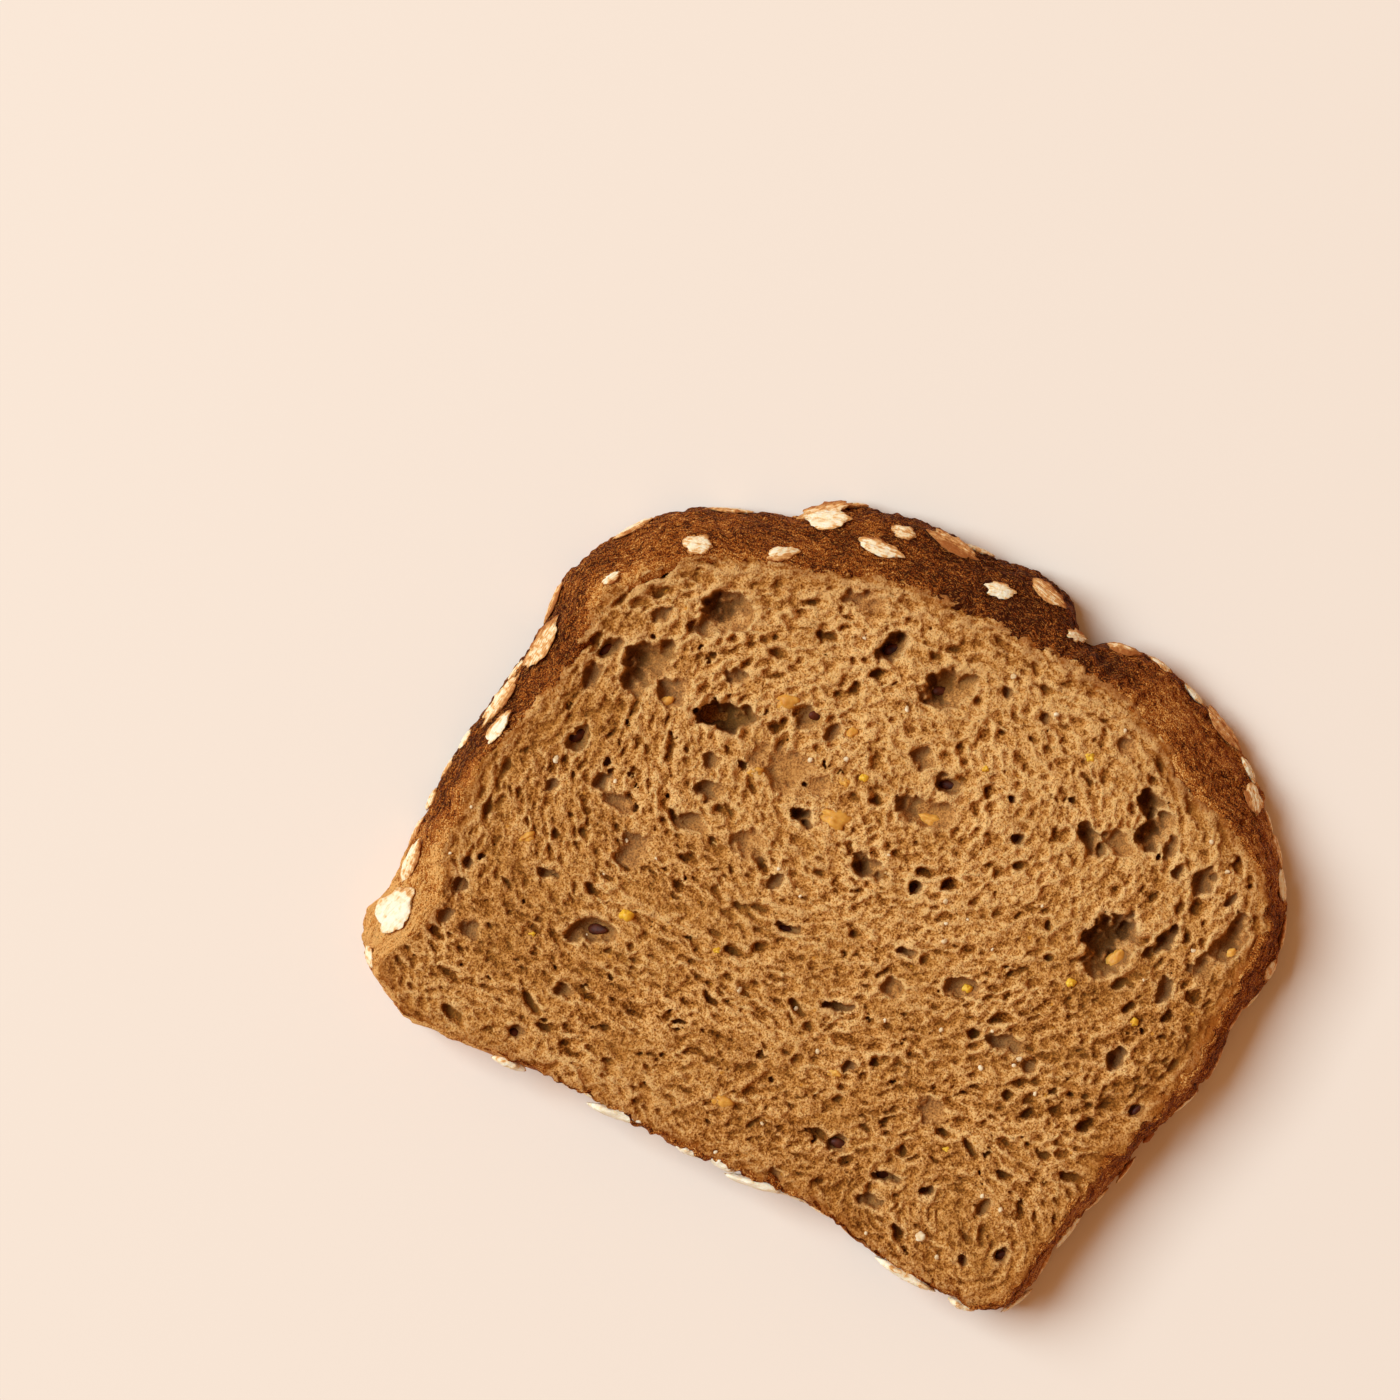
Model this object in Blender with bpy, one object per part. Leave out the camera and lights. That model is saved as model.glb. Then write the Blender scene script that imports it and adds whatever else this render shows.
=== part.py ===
"""One slice of a multigrain tin loaf, lying flat with a cut face up.

Metres, +Z up. +X runs along the slice's base, +Y towards its domed top crust.
The origin is under the middle of the slice, on the surface it lies on.
Lengths below are in millimetres and are scaled as each mesh is made.
"""

import math
import random

import bmesh
import bpy
import numpy as np
from mathutils import Matrix, Vector, noise
from mathutils.geometry import delaunay_2d_cdt

MM = 0.001

# Driving dimensions
THICKNESS = 13.0
MIDDLE_OFFSET = (-0.3, -0.7)  # moves the outlines so that their box is centred on the origin
CRUST_COLUMNS = 168
CRUST_RINGS = 7
CRUST_ROUNDNESS = 2.2  # 1 is a straight slope, more is a fuller, rounder flank
BASE_CRUST_BULGE = 0.7
TUCK_START = 0.85  # share of the thickness, from the top, below which the flank turns in
TUCK_DEPTH = 0.5
WRINKLE_HEIGHT = 0.4
WRINKLE_LENGTH = 9.0
WRINKLE_PITCH = 1.8
CUT_FACE_SPACING = 5.5
CUT_FACE_UNEVENNESS = 0.22

# Where the slice is widest, seen from above, clockwise from the base crust's left end
WIDEST_OUTLINE = [
    (-49.4, -53.9), (-55.2, -52.7), (-62.3, -47.8), (-64.5, -43.0), (-63.2, -36.0), (-64.5, -15.0),
    (-63.4, -5.0), (-62.2, 10.0), (-62.7, 20.0), (-57.8, 30.0), (-49.8, 37.9), (-35.0, 44.8),
    (-30.0, 49.5), (-20.0, 53.3), (-5.0, 54.0), (6.0, 55.3), (13.7, 50.2), (17.3, 50.6),
    (25.1, 52.3), (36.0, 49.3), (46.3, 44.4), (53.5, 37.9), (62.4, 26.9), (64.8, 16.7),
    (63.3, 8.0), (63.8, -2.5), (60.2, -15.0), (59.7, -20.8), (57.5, -28.8), (55.7, -36.9),
    (55.9, -43.1), (53.5, -48.9), (47.2, -51.1), (30.3, -50.9), (20.1, -49.4), (-6.5, -51.1),
    (-26.1, -51.4), (-38.6, -53.0),
]

# Where the upper cut face meets the crust, in the same order
CUT_FACE_OUTLINE = [
    (-49.4, -53.1), (-55.0, -51.8), (-58.7, -48.8), (-55.6, -40.0), (-55.8, -33.0), (-58.8, -26.0),
    (-59.3, -12.0), (-57.0, -2.0), (-55.4, 10.0), (-55.0, 20.0), (-47.1, 30.0), (-38.0, 35.2),
    (-29.7, 37.9), (-15.4, 43.7), (0.0, 45.0), (20.0, 44.8), (30.3, 41.7), (39.2, 37.2),
    (50.8, 33.2), (57.0, 28.3), (60.0, 21.0), (60.2, 1.5), (59.3, -10.0), (55.7, -20.8),
    (54.0, -33.0), (52.6, -43.1), (51.2, -48.6), (46.8, -50.4), (30.3, -50.2), (20.1, -48.7),
    (-6.5, -50.4), (-26.1, -50.7), (-38.6, -52.2),
]

# The widest hollows of the upper cut face: centre, length, width, turn in degrees, depth
LARGE_HOLLOWS = [
    (-29.6, 11.5, 9.5, 4.4, 25, 4.2),
    (-44.4, 12.9, 8.5, 7.5, 60, 3.4),
    (-37.8, 25.8, 8.5, 6.8, 30, 3.0),
    (-2.0, 32.0, 8.0, 5.6, 20, 2.8),
    (-12.3, 33.7, 5.2, 3.6, 70, 3.2),
    (-39.4, 10.0, 5.0, 4.0, 90, 2.4),
    (-26.6, 0.4, 4.4, 3.2, 10, 2.4),
    (-16.9, -4.0, 5.6, 4.6, 0, 1.8),
    (-18.0, 17.4, 4.6, 3.8, 45, 2.2),
    (1.0, 1.6, 5.6, 3.2, 15, 3.0),
    (4.7, 13.3, 9.5, 3.8, 12, 2.6),
    (5.7, 19.6, 4.2, 2.8, 0, 3.0),
    (39.8, 9.5, 10.7, 7.2, 80, 3.8),
    (56.0, 19.0, 8.0, 3.4, 88, 2.4),
    (33.4, 24.4, 5.6, 4.0, -30, 3.0),
    (37.8, 29.0, 5.4, 4.2, 50, 2.6),
    (48.1, 25.0, 5.8, 3.2, 70, 3.2),
    (47.2, 14.0, 5.4, 2.4, 85, 3.0),
    (50.4, 6.6, 4.6, 2.4, 80, 2.4),
    (-32.2, -27.7, 7.0, 3.4, 25, 2.6),
    (-32.4, -13.2, 5.6, 5.0, 0, 1.8),
    (-41.2, -6.7, 3.6, 3.0, 0, 2.2),
    (22.8, -7.6, 6.2, 3.0, 25, 2.4),
    (33.0, -12.0, 6.0, 2.8, 20, 2.4),
    (28.0, -27.0, 5.0, 4.0, 0, 1.6),
    (49.0, -6.0, 4.2, 2.6, 90, 2.6),
]

# Where the crumb has torn from the crust: centre, length, width, turn, depth
CRUST_SPLITS = [
    (-50.0, 24.0, 8.4, 1.8, 62, 3.0),
    (37.6, 36.6, 6.6, 1.8, -25, 3.0),
]

SMALL_HOLLOWS = 46
SMALL_HOLLOW_WIDTH = (2.2, 3.8)
UNDERSIDE_HOLLOWS = 16
UNDERSIDE_HOLLOW_WIDTH = (3.0, 6.5)
HOLLOW_SIDES = 9
HOLLOW_GAP = 1.1  # least wall left between two hollows
HOLLOW_EDGE_GAP = 1.6  # least crumb left beside the crust
HOLLOW_UNEVENNESS = 0.2
CUTTER_RISE = 1.0

# Rolled oat flakes seen on the crust: centre, length, width, turn in degrees
SEEN_FLAKES = [
    (-46.7, 32.8, 4.6, 3.4, 15),
    (-34.6, 37.9, 4.8, 2.6, 42),
    (-31.6, 47.4, 8.0, 4.4, 24),
    (-21.5, 46.2, 7.2, 3.2, 8),
    (-19.4, 50.2, 4.0, 3.0, 5),
    (-11.8, 52.2, 8.2, 4.2, -6),
    (-2.0, 49.5, 4.8, 3.2, 20),
    (5.0, 52.8, 6.4, 3.6, -12),
    (12.2, 48.9, 3.8, 3.0, 40),
    (20.0, 51.0, 5.2, 3.2, 15),
    (39.4, 47.4, 8.3, 4.0, -24),
    (48.6, 40.0, 5.2, 3.8, -60),
    (56.0, 35.0, 5.8, 3.6, -50),
    (59.4, 30.2, 5.2, 3.2, -55),
    (64.0, 18.4, 4.2, 3.2, 90),
    (-60.6, 7.5, 8.9, 4.4, 90),
    (-62.2, -2.6, 6.5, 4.0, 90),
    (-61.8, -32.0, 7.6, 3.8, 90),
    (-60.4, -40.6, 7.4, 6.6, 70),
    (-60.4, -48.4, 3.8, 2.8, -35),
    (57.0, -33.7, 6.4, 3.6, 94),
]
LOW_FLAKES = 30  # more of them low on the flank and along the base crust
LOW_FLAKE_LENGTH = (4.0, 7.5)
FLAKE_SIDES = 8
FLAKE_SUNK = 0.7
FLAKE_RIM = 0.5
FLAKE_CROWN = 0.9
FLAKE_GAP = 2.0

SEED = 4213
BREAD_COLOUR = (0.40, 0.19, 0.06, 1.0)
BREAD_ROUGHNESS = 0.85


def clear_scene():
    for obj in list(bpy.data.objects):
        bpy.data.objects.remove(obj, do_unlink=True)


def bread_material():
    material = bpy.data.materials.new("Multigrain bread")
    material.use_nodes = True
    shader = material.node_tree.nodes["Principled BSDF"]
    shader.inputs["Base Color"].default_value = BREAD_COLOUR
    shader.inputs["Roughness"].default_value = BREAD_ROUGHNESS
    shader.inputs["Metallic"].default_value = 0.0
    return material


def object_from(mesh_data, name, collection=None):
    """Makes an object from a bmesh in millimetres, with every face turned outwards."""
    bmesh.ops.recalc_face_normals(mesh_data, faces=mesh_data.faces[:])
    bmesh.ops.scale(mesh_data, vec=Vector((MM, MM, MM)), verts=mesh_data.verts[:])
    mesh = bpy.data.meshes.new(name)
    mesh_data.to_mesh(mesh)
    mesh_data.free()
    obj = bpy.data.objects.new(name, mesh)
    (collection or bpy.context.scene.collection).objects.link(obj)
    return obj


def smooth_loop(points, steps=8):
    """A closed curve through the points, as a finer list (Catmull-Rom)."""
    fine = []
    count = len(points)
    for index in range(count):
        before, start, end, after = (Vector(points[(index + k - 1) % count]) for k in range(4))
        for step in range(steps):
            t = step / steps
            bend = 2 * before - 5 * start + 4 * end - after
            twist = 3 * start - 3 * end + after - before
            fine.append(0.5 * (2 * start + (end - before) * t + bend * t**2 + twist * t**3))
    return fine


def reach(points, angle):
    """Distance from the origin to the closed outline in one direction."""
    way = Vector((math.cos(angle), math.sin(angle)))
    best = 0.0
    for start, end in zip(points, points[1:] + points[:1]):
        side = end - start
        across = way.x * side.y - way.y * side.x
        if abs(across) < 1e-9:
            continue
        distance = (start.x * side.y - start.y * side.x) / across
        along = (start.x * way.y - start.y * way.x) / across
        if distance > best and -1e-6 <= along <= 1 + 1e-6:
            best = distance
    return best


def outline(points):
    shift = Vector(MIDDLE_OFFSET)
    return smooth_loop([Vector(point) + shift for point in points])


WIDEST = outline(WIDEST_OUTLINE)
CUT_FACE = outline(CUT_FACE_OUTLINE)


def crust_share(level):
    """Share of the crust's width reached at a level, from 0 at the cut face to 1 at the underside."""
    return 1 - (1 - min(level / TUCK_START, 1.0)) ** CRUST_ROUNDNESS


def crust_point(angle, level, wrinkled=True):
    """A point of the crust's outer surface, in millimetres."""
    outer = reach(WIDEST, angle)
    inner = min(reach(CUT_FACE, angle), outer - 0.3)
    tuck = max(level - TUCK_START, 0.0) / (1 - TUCK_START)
    distance = inner + (outer - inner) * crust_share(level) - TUCK_DEPTH * tuck**2
    along = angle * outer
    if wrinkled:
        place = Vector((along / WRINKLE_LENGTH, level * THICKNESS / WRINKLE_PITCH, 3.7))
        seam = min(1.0, (2 * math.pi - angle) * outer / WRINKLE_LENGTH, along / WRINKLE_LENGTH)
        distance += WRINKLE_HEIGHT * noise.noise(place) * math.sin(math.pi * level) * seam
    base_side = max(0.0, -math.sin(angle) - 0.6) / 0.4
    distance += BASE_CRUST_BULGE * base_side * math.sin(math.pi * level) * 0.6
    return Vector((distance * math.cos(angle), distance * math.sin(angle), THICKNESS * (1 - level)))


def slice_body(material):
    """The bare slice: a domed crust flank between an uneven cut face and a flat underside."""
    mesh_data = bmesh.new()
    angles = [2 * math.pi * column / CRUST_COLUMNS for column in range(CRUST_COLUMNS)]
    levels = [ring / (CRUST_RINGS - 1) for ring in range(CRUST_RINGS)]
    rings = [[mesh_data.verts.new(crust_point(angle, level)) for angle in angles] for level in levels]
    for upper, lower in zip(rings, rings[1:]):
        for column in range(CRUST_COLUMNS):
            after = (column + 1) % CRUST_COLUMNS
            mesh_data.faces.new((upper[column], upper[after], lower[after], lower[column]))
    mesh_data.faces.new(rings[-1])
    fill_cut_face(mesh_data, rings[0])
    bmesh.ops.triangulate(mesh_data, faces=[face for face in mesh_data.faces if len(face.verts) == 4])
    body = object_from(mesh_data, "bread_slice")
    body.data.materials.append(material)
    return body


def fill_cut_face(mesh_data, rim):
    """Fills the upper rim with triangles of even size, a little uneven in height as sawn crumb is."""
    places = [vert.co.xy.copy() for vert in rim]
    rim_count = len(places)
    rows = int(2 * max(place.length for place in places) / CUT_FACE_SPACING) + 1
    for row in range(-rows // 2, rows // 2 + 1):
        for column in range(-rows // 2, rows // 2 + 1):
            place = Vector((column + 0.5 * (row % 2), row * 0.87)) * CUT_FACE_SPACING
            if place.length < reach(CUT_FACE, math.atan2(place.y, place.x)) - 0.6 * CUT_FACE_SPACING:
                places.append(place)
    filled = delaunay_2d_cdt(places, [], [list(range(rim_count))], 1, 1e-4)
    verts = []
    for index, place in enumerate(filled[0]):
        source = min(filled[3][index])
        if source < rim_count:
            verts.append(rim[source])
            continue
        dip = CUT_FACE_UNEVENNESS * abs(noise.noise(Vector((place.x / 11, place.y / 11, 0.4))))
        verts.append(mesh_data.verts.new((place.x, place.y, THICKNESS - dip)))
    for face in filled[2]:
        mesh_data.faces.new([verts[index] for index in face])


def hollow_cutter(hollow, draw, collection, underside=False):
    """A lumpy bowl with a lid above the cut face, which leaves one open bubble of the crumb."""
    x, y, length, width, turn, depth = hollow
    profile = [(0.60, -0.84 * depth), (0.94, -0.42 * depth), (1.03, CUTTER_RISE)]
    heading = Matrix.Rotation(math.radians(turn), 2)
    lumps = [1 + HOLLOW_UNEVENNESS * draw.uniform(-1, 1) for _ in range(HOLLOW_SIDES)]
    mesh_data = bmesh.new()

    def vert(across, side, height):
        angle = 2 * math.pi * side / HOLLOW_SIDES
        spot = Vector((math.cos(angle) * length / 2, math.sin(angle) * width / 2)) * across
        spot = heading @ (spot * lumps[side % HOLLOW_SIDES]) + Vector((x, y))
        level = -height if underside else THICKNESS + height
        return mesh_data.verts.new((spot.x, spot.y, level))

    rings = [[vert(share, side, height) for side in range(HOLLOW_SIDES)] for share, height in profile]
    floor = vert(0.0, 0, -depth)
    for side in range(HOLLOW_SIDES):
        after = (side + 1) % HOLLOW_SIDES
        mesh_data.faces.new((floor, rings[0][side], rings[0][after]))
        for inner, outer in zip(rings, rings[1:]):
            mesh_data.faces.new((inner[side], outer[side], outer[after], inner[after]))
    mesh_data.faces.new(rings[-1])
    return object_from(mesh_data, "crumb_hollow", collection)


def shifted(entries):
    return [(entry[0] + MIDDLE_OFFSET[0], entry[1] + MIDDLE_OFFSET[1], *entry[2:]) for entry in entries]


def seeded_hollows(count, widths, depth_share, taken, draw):
    """More hollows of the crumb, at random places clear of those already there."""
    found = []
    while len(found) < count:
        place = Vector((draw.uniform(-60, 60), draw.uniform(-50, 46)))
        width = draw.uniform(*widths)
        length = width * draw.uniform(1.0, 1.7)
        edge = reach(CUT_FACE, math.atan2(place.y, place.x)) - HOLLOW_EDGE_GAP - length / 2
        clear = all(
            (place - Vector(other[:2])).length > (length + other[2]) / 2 + HOLLOW_GAP
            for other in taken + found
        )
        if place.length < edge and clear:
            swirl = math.degrees(math.atan2(place.y + 4, place.x)) + 90 + draw.uniform(-30, 30)
            found.append((place.x, place.y, length, width, swirl, width * depth_share))
    return found


def oat_flake(angle, level, length, width, heading, collection):
    """A thin domed oval, half sunk in the crust and lying along it."""
    spot = crust_point(angle, level, wrinkled=False)
    along = crust_point(angle + 0.01, level, wrinkled=False) - spot
    down = crust_point(angle, min(level + 0.02, 1.0), wrinkled=False)
    down -= crust_point(angle, level - 0.02, wrinkled=False)
    normal = along.cross(down).normalized()
    if normal.dot(Vector((spot.x, spot.y, 20.0))) < 0:
        normal.negate()
    long_way = (heading - normal * heading.dot(normal)).normalized()
    cross_way = normal.cross(long_way)
    mesh_data = bmesh.new()

    def ring(height, share):
        verts = []
        for side in range(FLAKE_SIDES):
            turn = 2 * math.pi * side / FLAKE_SIDES
            flat = long_way * math.cos(turn) * length / 2 + cross_way * math.sin(turn) * width / 2
            verts.append(mesh_data.verts.new(spot + flat * share + normal * height))
        return verts

    lower = ring(-FLAKE_SUNK, 0.9)
    rim = ring(FLAKE_RIM, 1.0)
    crown = mesh_data.verts.new(spot + normal * FLAKE_CROWN)
    mesh_data.faces.new(lower)
    for side in range(FLAKE_SIDES):
        after = (side + 1) % FLAKE_SIDES
        mesh_data.faces.new((lower[side], lower[after], rim[after], rim[side]))
        mesh_data.faces.new((rim[side], rim[after], crown))
    return object_from(mesh_data, "oat_flake", collection)


def seen_flake(flake, collection):
    x, y, length, width, turn = flake
    angle = math.atan2(y, x) % (2 * math.pi)
    outer = reach(WIDEST, angle)
    inner = reach(CUT_FACE, angle)
    share = min(max((math.hypot(x, y) - inner) / (outer - inner), 0.05), 0.97)
    level = TUCK_START * (1 - (1 - share) ** (1 / CRUST_ROUNDNESS))
    heading = Vector((math.cos(math.radians(turn)), math.sin(math.radians(turn)), 0.0))
    lowest = 1 - (width / 2 + 0.6) / THICKNESS
    oat_flake(angle, min(level, lowest), length, width, heading, collection)
    return angle


def low_flakes(taken, draw, collection):
    """Flakes along the base crust and low on the flank, spread out by a minimum spacing."""
    made = 0
    while made < LOW_FLAKES:
        angle = draw.uniform(0.02, 2 * math.pi - 0.02)
        level = draw.uniform(0.45, 0.72)
        outer = reach(WIDEST, angle)
        near = [abs((angle - other + math.pi) % (2 * math.pi) - math.pi) * outer for other in taken]
        length = draw.uniform(*LOW_FLAKE_LENGTH)
        if near and min(near) < length / 2 + FLAKE_GAP:
            continue
        slope = draw.uniform(-0.25, 0.25)
        heading = Vector((-math.sin(angle), math.cos(angle), slope))
        oat_flake(angle, level, length, length * draw.uniform(0.5, 0.65), heading, collection)
        taken.append(angle)
        made += 1


def combine(body, collection, operation):
    """Applies one Boolean of the body with all of a collection, then removes the collection's objects."""
    modifier = body.modifiers.new(operation.title(), "BOOLEAN")
    modifier.operation = operation
    modifier.operand_type = "COLLECTION"
    modifier.collection = collection
    modifier.solver = "EXACT"
    bpy.context.view_layer.objects.active = body
    with bpy.context.temp_override(object=body, active_object=body, selected_objects=[body]):
        bpy.ops.object.modifier_apply(modifier=modifier.name)
    for obj in list(collection.objects):
        bpy.data.objects.remove(obj, do_unlink=True)
    bpy.data.collections.remove(collection)


def helper_collection(name):
    collection = bpy.data.collections.new(name)
    bpy.context.scene.collection.children.link(collection)
    return collection


def drop_scraps(body):
    """Keeps the largest connected piece of the mesh."""
    mesh_data = bmesh.new()
    mesh_data.from_mesh(body.data)
    waiting = set(mesh_data.verts)
    pieces = []
    while waiting:
        piece = [waiting.pop()]
        for vert in piece:
            for edge in vert.link_edges:
                other = edge.other_vert(vert)
                if other in waiting:
                    waiting.remove(other)
                    piece.append(other)
        pieces.append(piece)
    pieces.sort(key=len)
    for piece in pieces[:-1]:
        bmesh.ops.delete(mesh_data, geom=piece, context="VERTS")
    mesh_data.to_mesh(body.data)
    mesh_data.free()


def cut_hollows(body, draw):
    cutters = helper_collection("Hollows")
    upper = shifted(LARGE_HOLLOWS + CRUST_SPLITS)
    upper += seeded_hollows(SMALL_HOLLOWS, SMALL_HOLLOW_WIDTH, 0.6, upper, draw)
    for hollow in upper:
        hollow_cutter(hollow, draw, cutters)
    mount_clearing = [(0.0, 0.0, 20.0, 20.0, 0.0, 0.0)]
    for hollow in seeded_hollows(UNDERSIDE_HOLLOWS, UNDERSIDE_HOLLOW_WIDTH, 0.4, mount_clearing, draw):
        hollow_cutter(hollow, draw, cutters, underside=True)
    combine(body, cutters, "DIFFERENCE")


def add_flakes(body, draw):
    flakes = helper_collection("Flakes")
    taken = [seen_flake(flake, flakes) for flake in shifted(SEEN_FLAKES)]
    low_flakes(taken, draw, flakes)
    combine(body, flakes, "UNION")


def main():
    clear_scene()
    draw = random.Random(SEED)
    body = slice_body(bread_material())
    cut_hollows(body, draw)
    add_flakes(body, draw)
    drop_scraps(body)
    body.data.shade_smooth()
    body.data.set_sharp_from_angle(angle=math.radians(35))
    size = np.array([corner[:] for corner in body.bound_box]) / MM
    print("bread slice", np.round(size.min(axis=0), 2), np.round(size.max(axis=0), 2))


main()
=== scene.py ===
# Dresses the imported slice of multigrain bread: crumb, crust, oats, seeds and grains.
# Lengths in the dictionaries are in millimetres; meshes are made in metres.
import math

import bpy
import numpy as np
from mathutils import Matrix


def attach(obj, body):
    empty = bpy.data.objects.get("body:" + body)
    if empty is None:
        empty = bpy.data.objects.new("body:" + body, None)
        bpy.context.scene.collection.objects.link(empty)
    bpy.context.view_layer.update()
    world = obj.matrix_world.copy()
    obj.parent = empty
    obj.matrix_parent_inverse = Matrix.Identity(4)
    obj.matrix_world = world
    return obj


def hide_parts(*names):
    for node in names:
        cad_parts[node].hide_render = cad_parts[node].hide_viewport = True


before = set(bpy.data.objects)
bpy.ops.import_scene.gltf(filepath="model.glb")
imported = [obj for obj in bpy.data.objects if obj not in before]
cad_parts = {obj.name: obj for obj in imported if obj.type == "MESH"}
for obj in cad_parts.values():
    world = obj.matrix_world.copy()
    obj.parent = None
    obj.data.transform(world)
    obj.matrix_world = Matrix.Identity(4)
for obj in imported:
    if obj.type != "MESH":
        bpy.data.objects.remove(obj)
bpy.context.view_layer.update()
mm = 0.001

sliceShape = {
    "thickness": 13.0,
    "middleOffset": (-0.3, -0.7),
    "flankRoundness": 2.2,  # 1 is a straight slope
    "tuckStart": 0.85,  # share of the thickness, from the top, where the flank turns in
    "tuckDepth": 0.5,
    "baseBulge": 0.05,
    "raggedEdge": 0.8,
}
thickness = sliceShape["thickness"]

# Where the slice is widest, clockwise from the base crust's left end
widestOutline = [
    (-49.4, -53.9), (-55.2, -52.7), (-62.3, -47.8), (-64.5, -43), (-63.2, -36), (-64.5, -15), (-63.4, -5),
    (-62.2, 10), (-62.7, 20), (-57.8, 30), (-49.8, 37.9), (-35, 44.8), (-30, 49.5), (-20, 53.3), (-5, 54),
    (6, 55.3), (13.7, 50.2), (17.3, 50.6), (25.1, 52.3), (36, 49.3), (46.3, 44.4), (53.5, 37.9), (62.4, 26.9),
    (64.8, 16.7), (63.3, 8), (63.8, -2.5), (60.2, -15), (59.7, -20.8), (57.5, -28.8), (55.7, -36.9),
    (55.9, -43.1), (53.5, -48.9), (47.2, -51.1), (30.3, -50.9), (20.1, -49.4), (-6.5, -51.1), (-26.1, -51.4),
    (-38.6, -53),
]

# Where the cut face meets the crust, in the same order
cutFaceOutline = [
    (-49.4, -53.1), (-55, -51.8), (-58.7, -48.8), (-55.6, -40), (-55.8, -33), (-58.8, -26), (-59.3, -12),
    (-57, -2), (-55.4, 10), (-55, 20), (-47.1, 30), (-38, 35.2), (-29.7, 37.9), (-15.4, 43.7), (0, 45),
    (20, 44.8), (30.3, 41.7), (39.2, 37.2), (50.8, 33.2), (57, 28.3), (60, 21), (60.2, 1.5), (59.3, -10),
    (55.7, -20.8), (54, -33), (52.6, -43.1), (51.2, -48.6), (46.8, -50.4), (30.3, -50.2), (20.1, -48.7),
    (-6.5, -50.4), (-26.1, -50.7), (-38.6, -52.2),
]


# Shared arithmetic: noise, outlines and flat maps of the slice

def latticeNoise(u, v, seed, around=256):
    # Smooth noise from -1 to 1 that repeats after `around` cells of u
    table = np.random.default_rng(seed).uniform(-1, 1, (around, 256))
    cellU, cellV = np.floor(u).astype(int), np.floor(v).astype(int)
    partU, partV = u - cellU, v - cellV
    partU, partV = partU**2 * (3 - 2 * partU), partV**2 * (3 - 2 * partV)
    nextU, nextV = (cellU + 1) % around, (cellV + 1) % 256
    cellU, cellV = cellU % around, cellV % 256
    near = table[cellU, cellV] * (1 - partU) + table[nextU, cellV] * partU
    far = table[cellU, nextV] * (1 - partU) + table[nextU, nextV] * partU
    return near * (1 - partV) + far * partV


def layeredNoise(x, y, size, seed, layers=3):
    # Each layer is half as large and half as strong as the one before, and turned
    total, strength = 0.0, 1.0
    for layer in range(layers):
        turn = 0.6 + 1.1 * layer
        u = (x * math.cos(turn) - y * math.sin(turn)) / size
        v = (x * math.sin(turn) + y * math.cos(turn)) / size
        total = total + strength * latticeNoise(u + 31.7, v + 17.3, seed + layer)
        size, strength = size / 2, strength / 2
    return total


def easeStep(value, low, high):
    part = np.clip((value - low) / (high - low), 0, 1)
    return part * part * (3 - 2 * part)


def raggedness(angle, seed):
    turns = np.mod(angle, 2 * math.pi) / (2 * math.pi)
    total = 0.0
    for cells, share in ((90, 0.5), (220, 0.6), (520, 0.4)):
        total = total + share * latticeNoise(turns * cells, turns * 0, seed + cells, around=cells)
    return total


def radiusReader(points, ragged=0.0, seed=0):
    # Distance from the middle to a closed curve through the points, for any angle
    spot = np.array(points, float) + sliceShape["middleOffset"]
    before, after, later = np.roll(spot, 1, 0), np.roll(spot, -1, 0), np.roll(spot, -2, 0)
    t = (np.arange(24) / 24)[:, None, None]
    bend = 2 * before - 5 * spot + 4 * after - later
    twist = 3 * spot - 3 * after + later - before
    curve = 0.5 * (2 * spot + (after - before) * t + bend * t**2 + twist * t**3)
    curve = curve.transpose(1, 0, 2).reshape(-1, 2)
    angles = np.arctan2(curve[:, 1], curve[:, 0])
    order = np.argsort(angles)
    angles, radii = angles[order], np.hypot(curve[:, 0], curve[:, 1])[order]

    def read(angle):
        radius = np.interp(angle, angles, radii, period=2 * math.pi)
        if ragged:
            radius = radius + ragged * raggedness(angle, seed)
        return radius

    return read


smoothWidestAt = radiusReader(widestOutline)
cutFaceAt = radiusReader(cutFaceOutline, sliceShape["raggedEdge"], seed=11)


def slicePlace(x, y):
    # From a place in the tables to one measured from the slice's middle
    return x + sliceShape["middleOffset"][0], y + sliceShape["middleOffset"][1]


def flatWay(degrees):
    turn = math.radians(degrees)
    return np.array([math.cos(turn), math.sin(turn), 0.0])


def baseShare(angle):
    # 1 along the base crust, 0 round the rest
    return easeStep(-np.sin(angle), 0.62, 0.72)


def widestAt(angle):
    return smoothWidestAt(angle) + (0.26 + 0.4 * baseShare(angle)) * raggedness(angle, 31)


def innerAt(angle):
    outer = widestAt(angle)
    inner = np.minimum(cutFaceAt(angle), outer - 0.35)
    return inner + (np.minimum(inner + 0.4, outer - 0.3) - inner) * baseShare(angle)


def flankShare(level):
    part = np.minimum(level / sliceShape["tuckStart"], 1.0)
    return 1 - (1 - part) ** sliceShape["flankRoundness"]


def flankLevel(share):
    part = 1 - np.clip(share, 0, 1)
    return sliceShape["tuckStart"] * (1 - part ** (1 / sliceShape["flankRoundness"]))


def flankRadius(angle, level):
    # Radius of the smooth flank, from level 0 at the cut face to 1 at the underside
    outer, inner = widestAt(angle), innerAt(angle)
    tuck = np.maximum(level - sliceShape["tuckStart"], 0) / (1 - sliceShape["tuckStart"])
    baseSide = np.maximum(0, -np.sin(angle) - 0.6) / 0.4
    bulge = sliceShape["baseBulge"] * baseSide * np.sin(math.pi * level)
    calm = (0.25 + 0.6 * raggedness(angle, 31)) * easeStep(level, 0.06, 0.4) * baseShare(angle)
    return inner + (outer - inner) * flankShare(level) - sliceShape["tuckDepth"] * tuck**2 + bulge - calm


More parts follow.
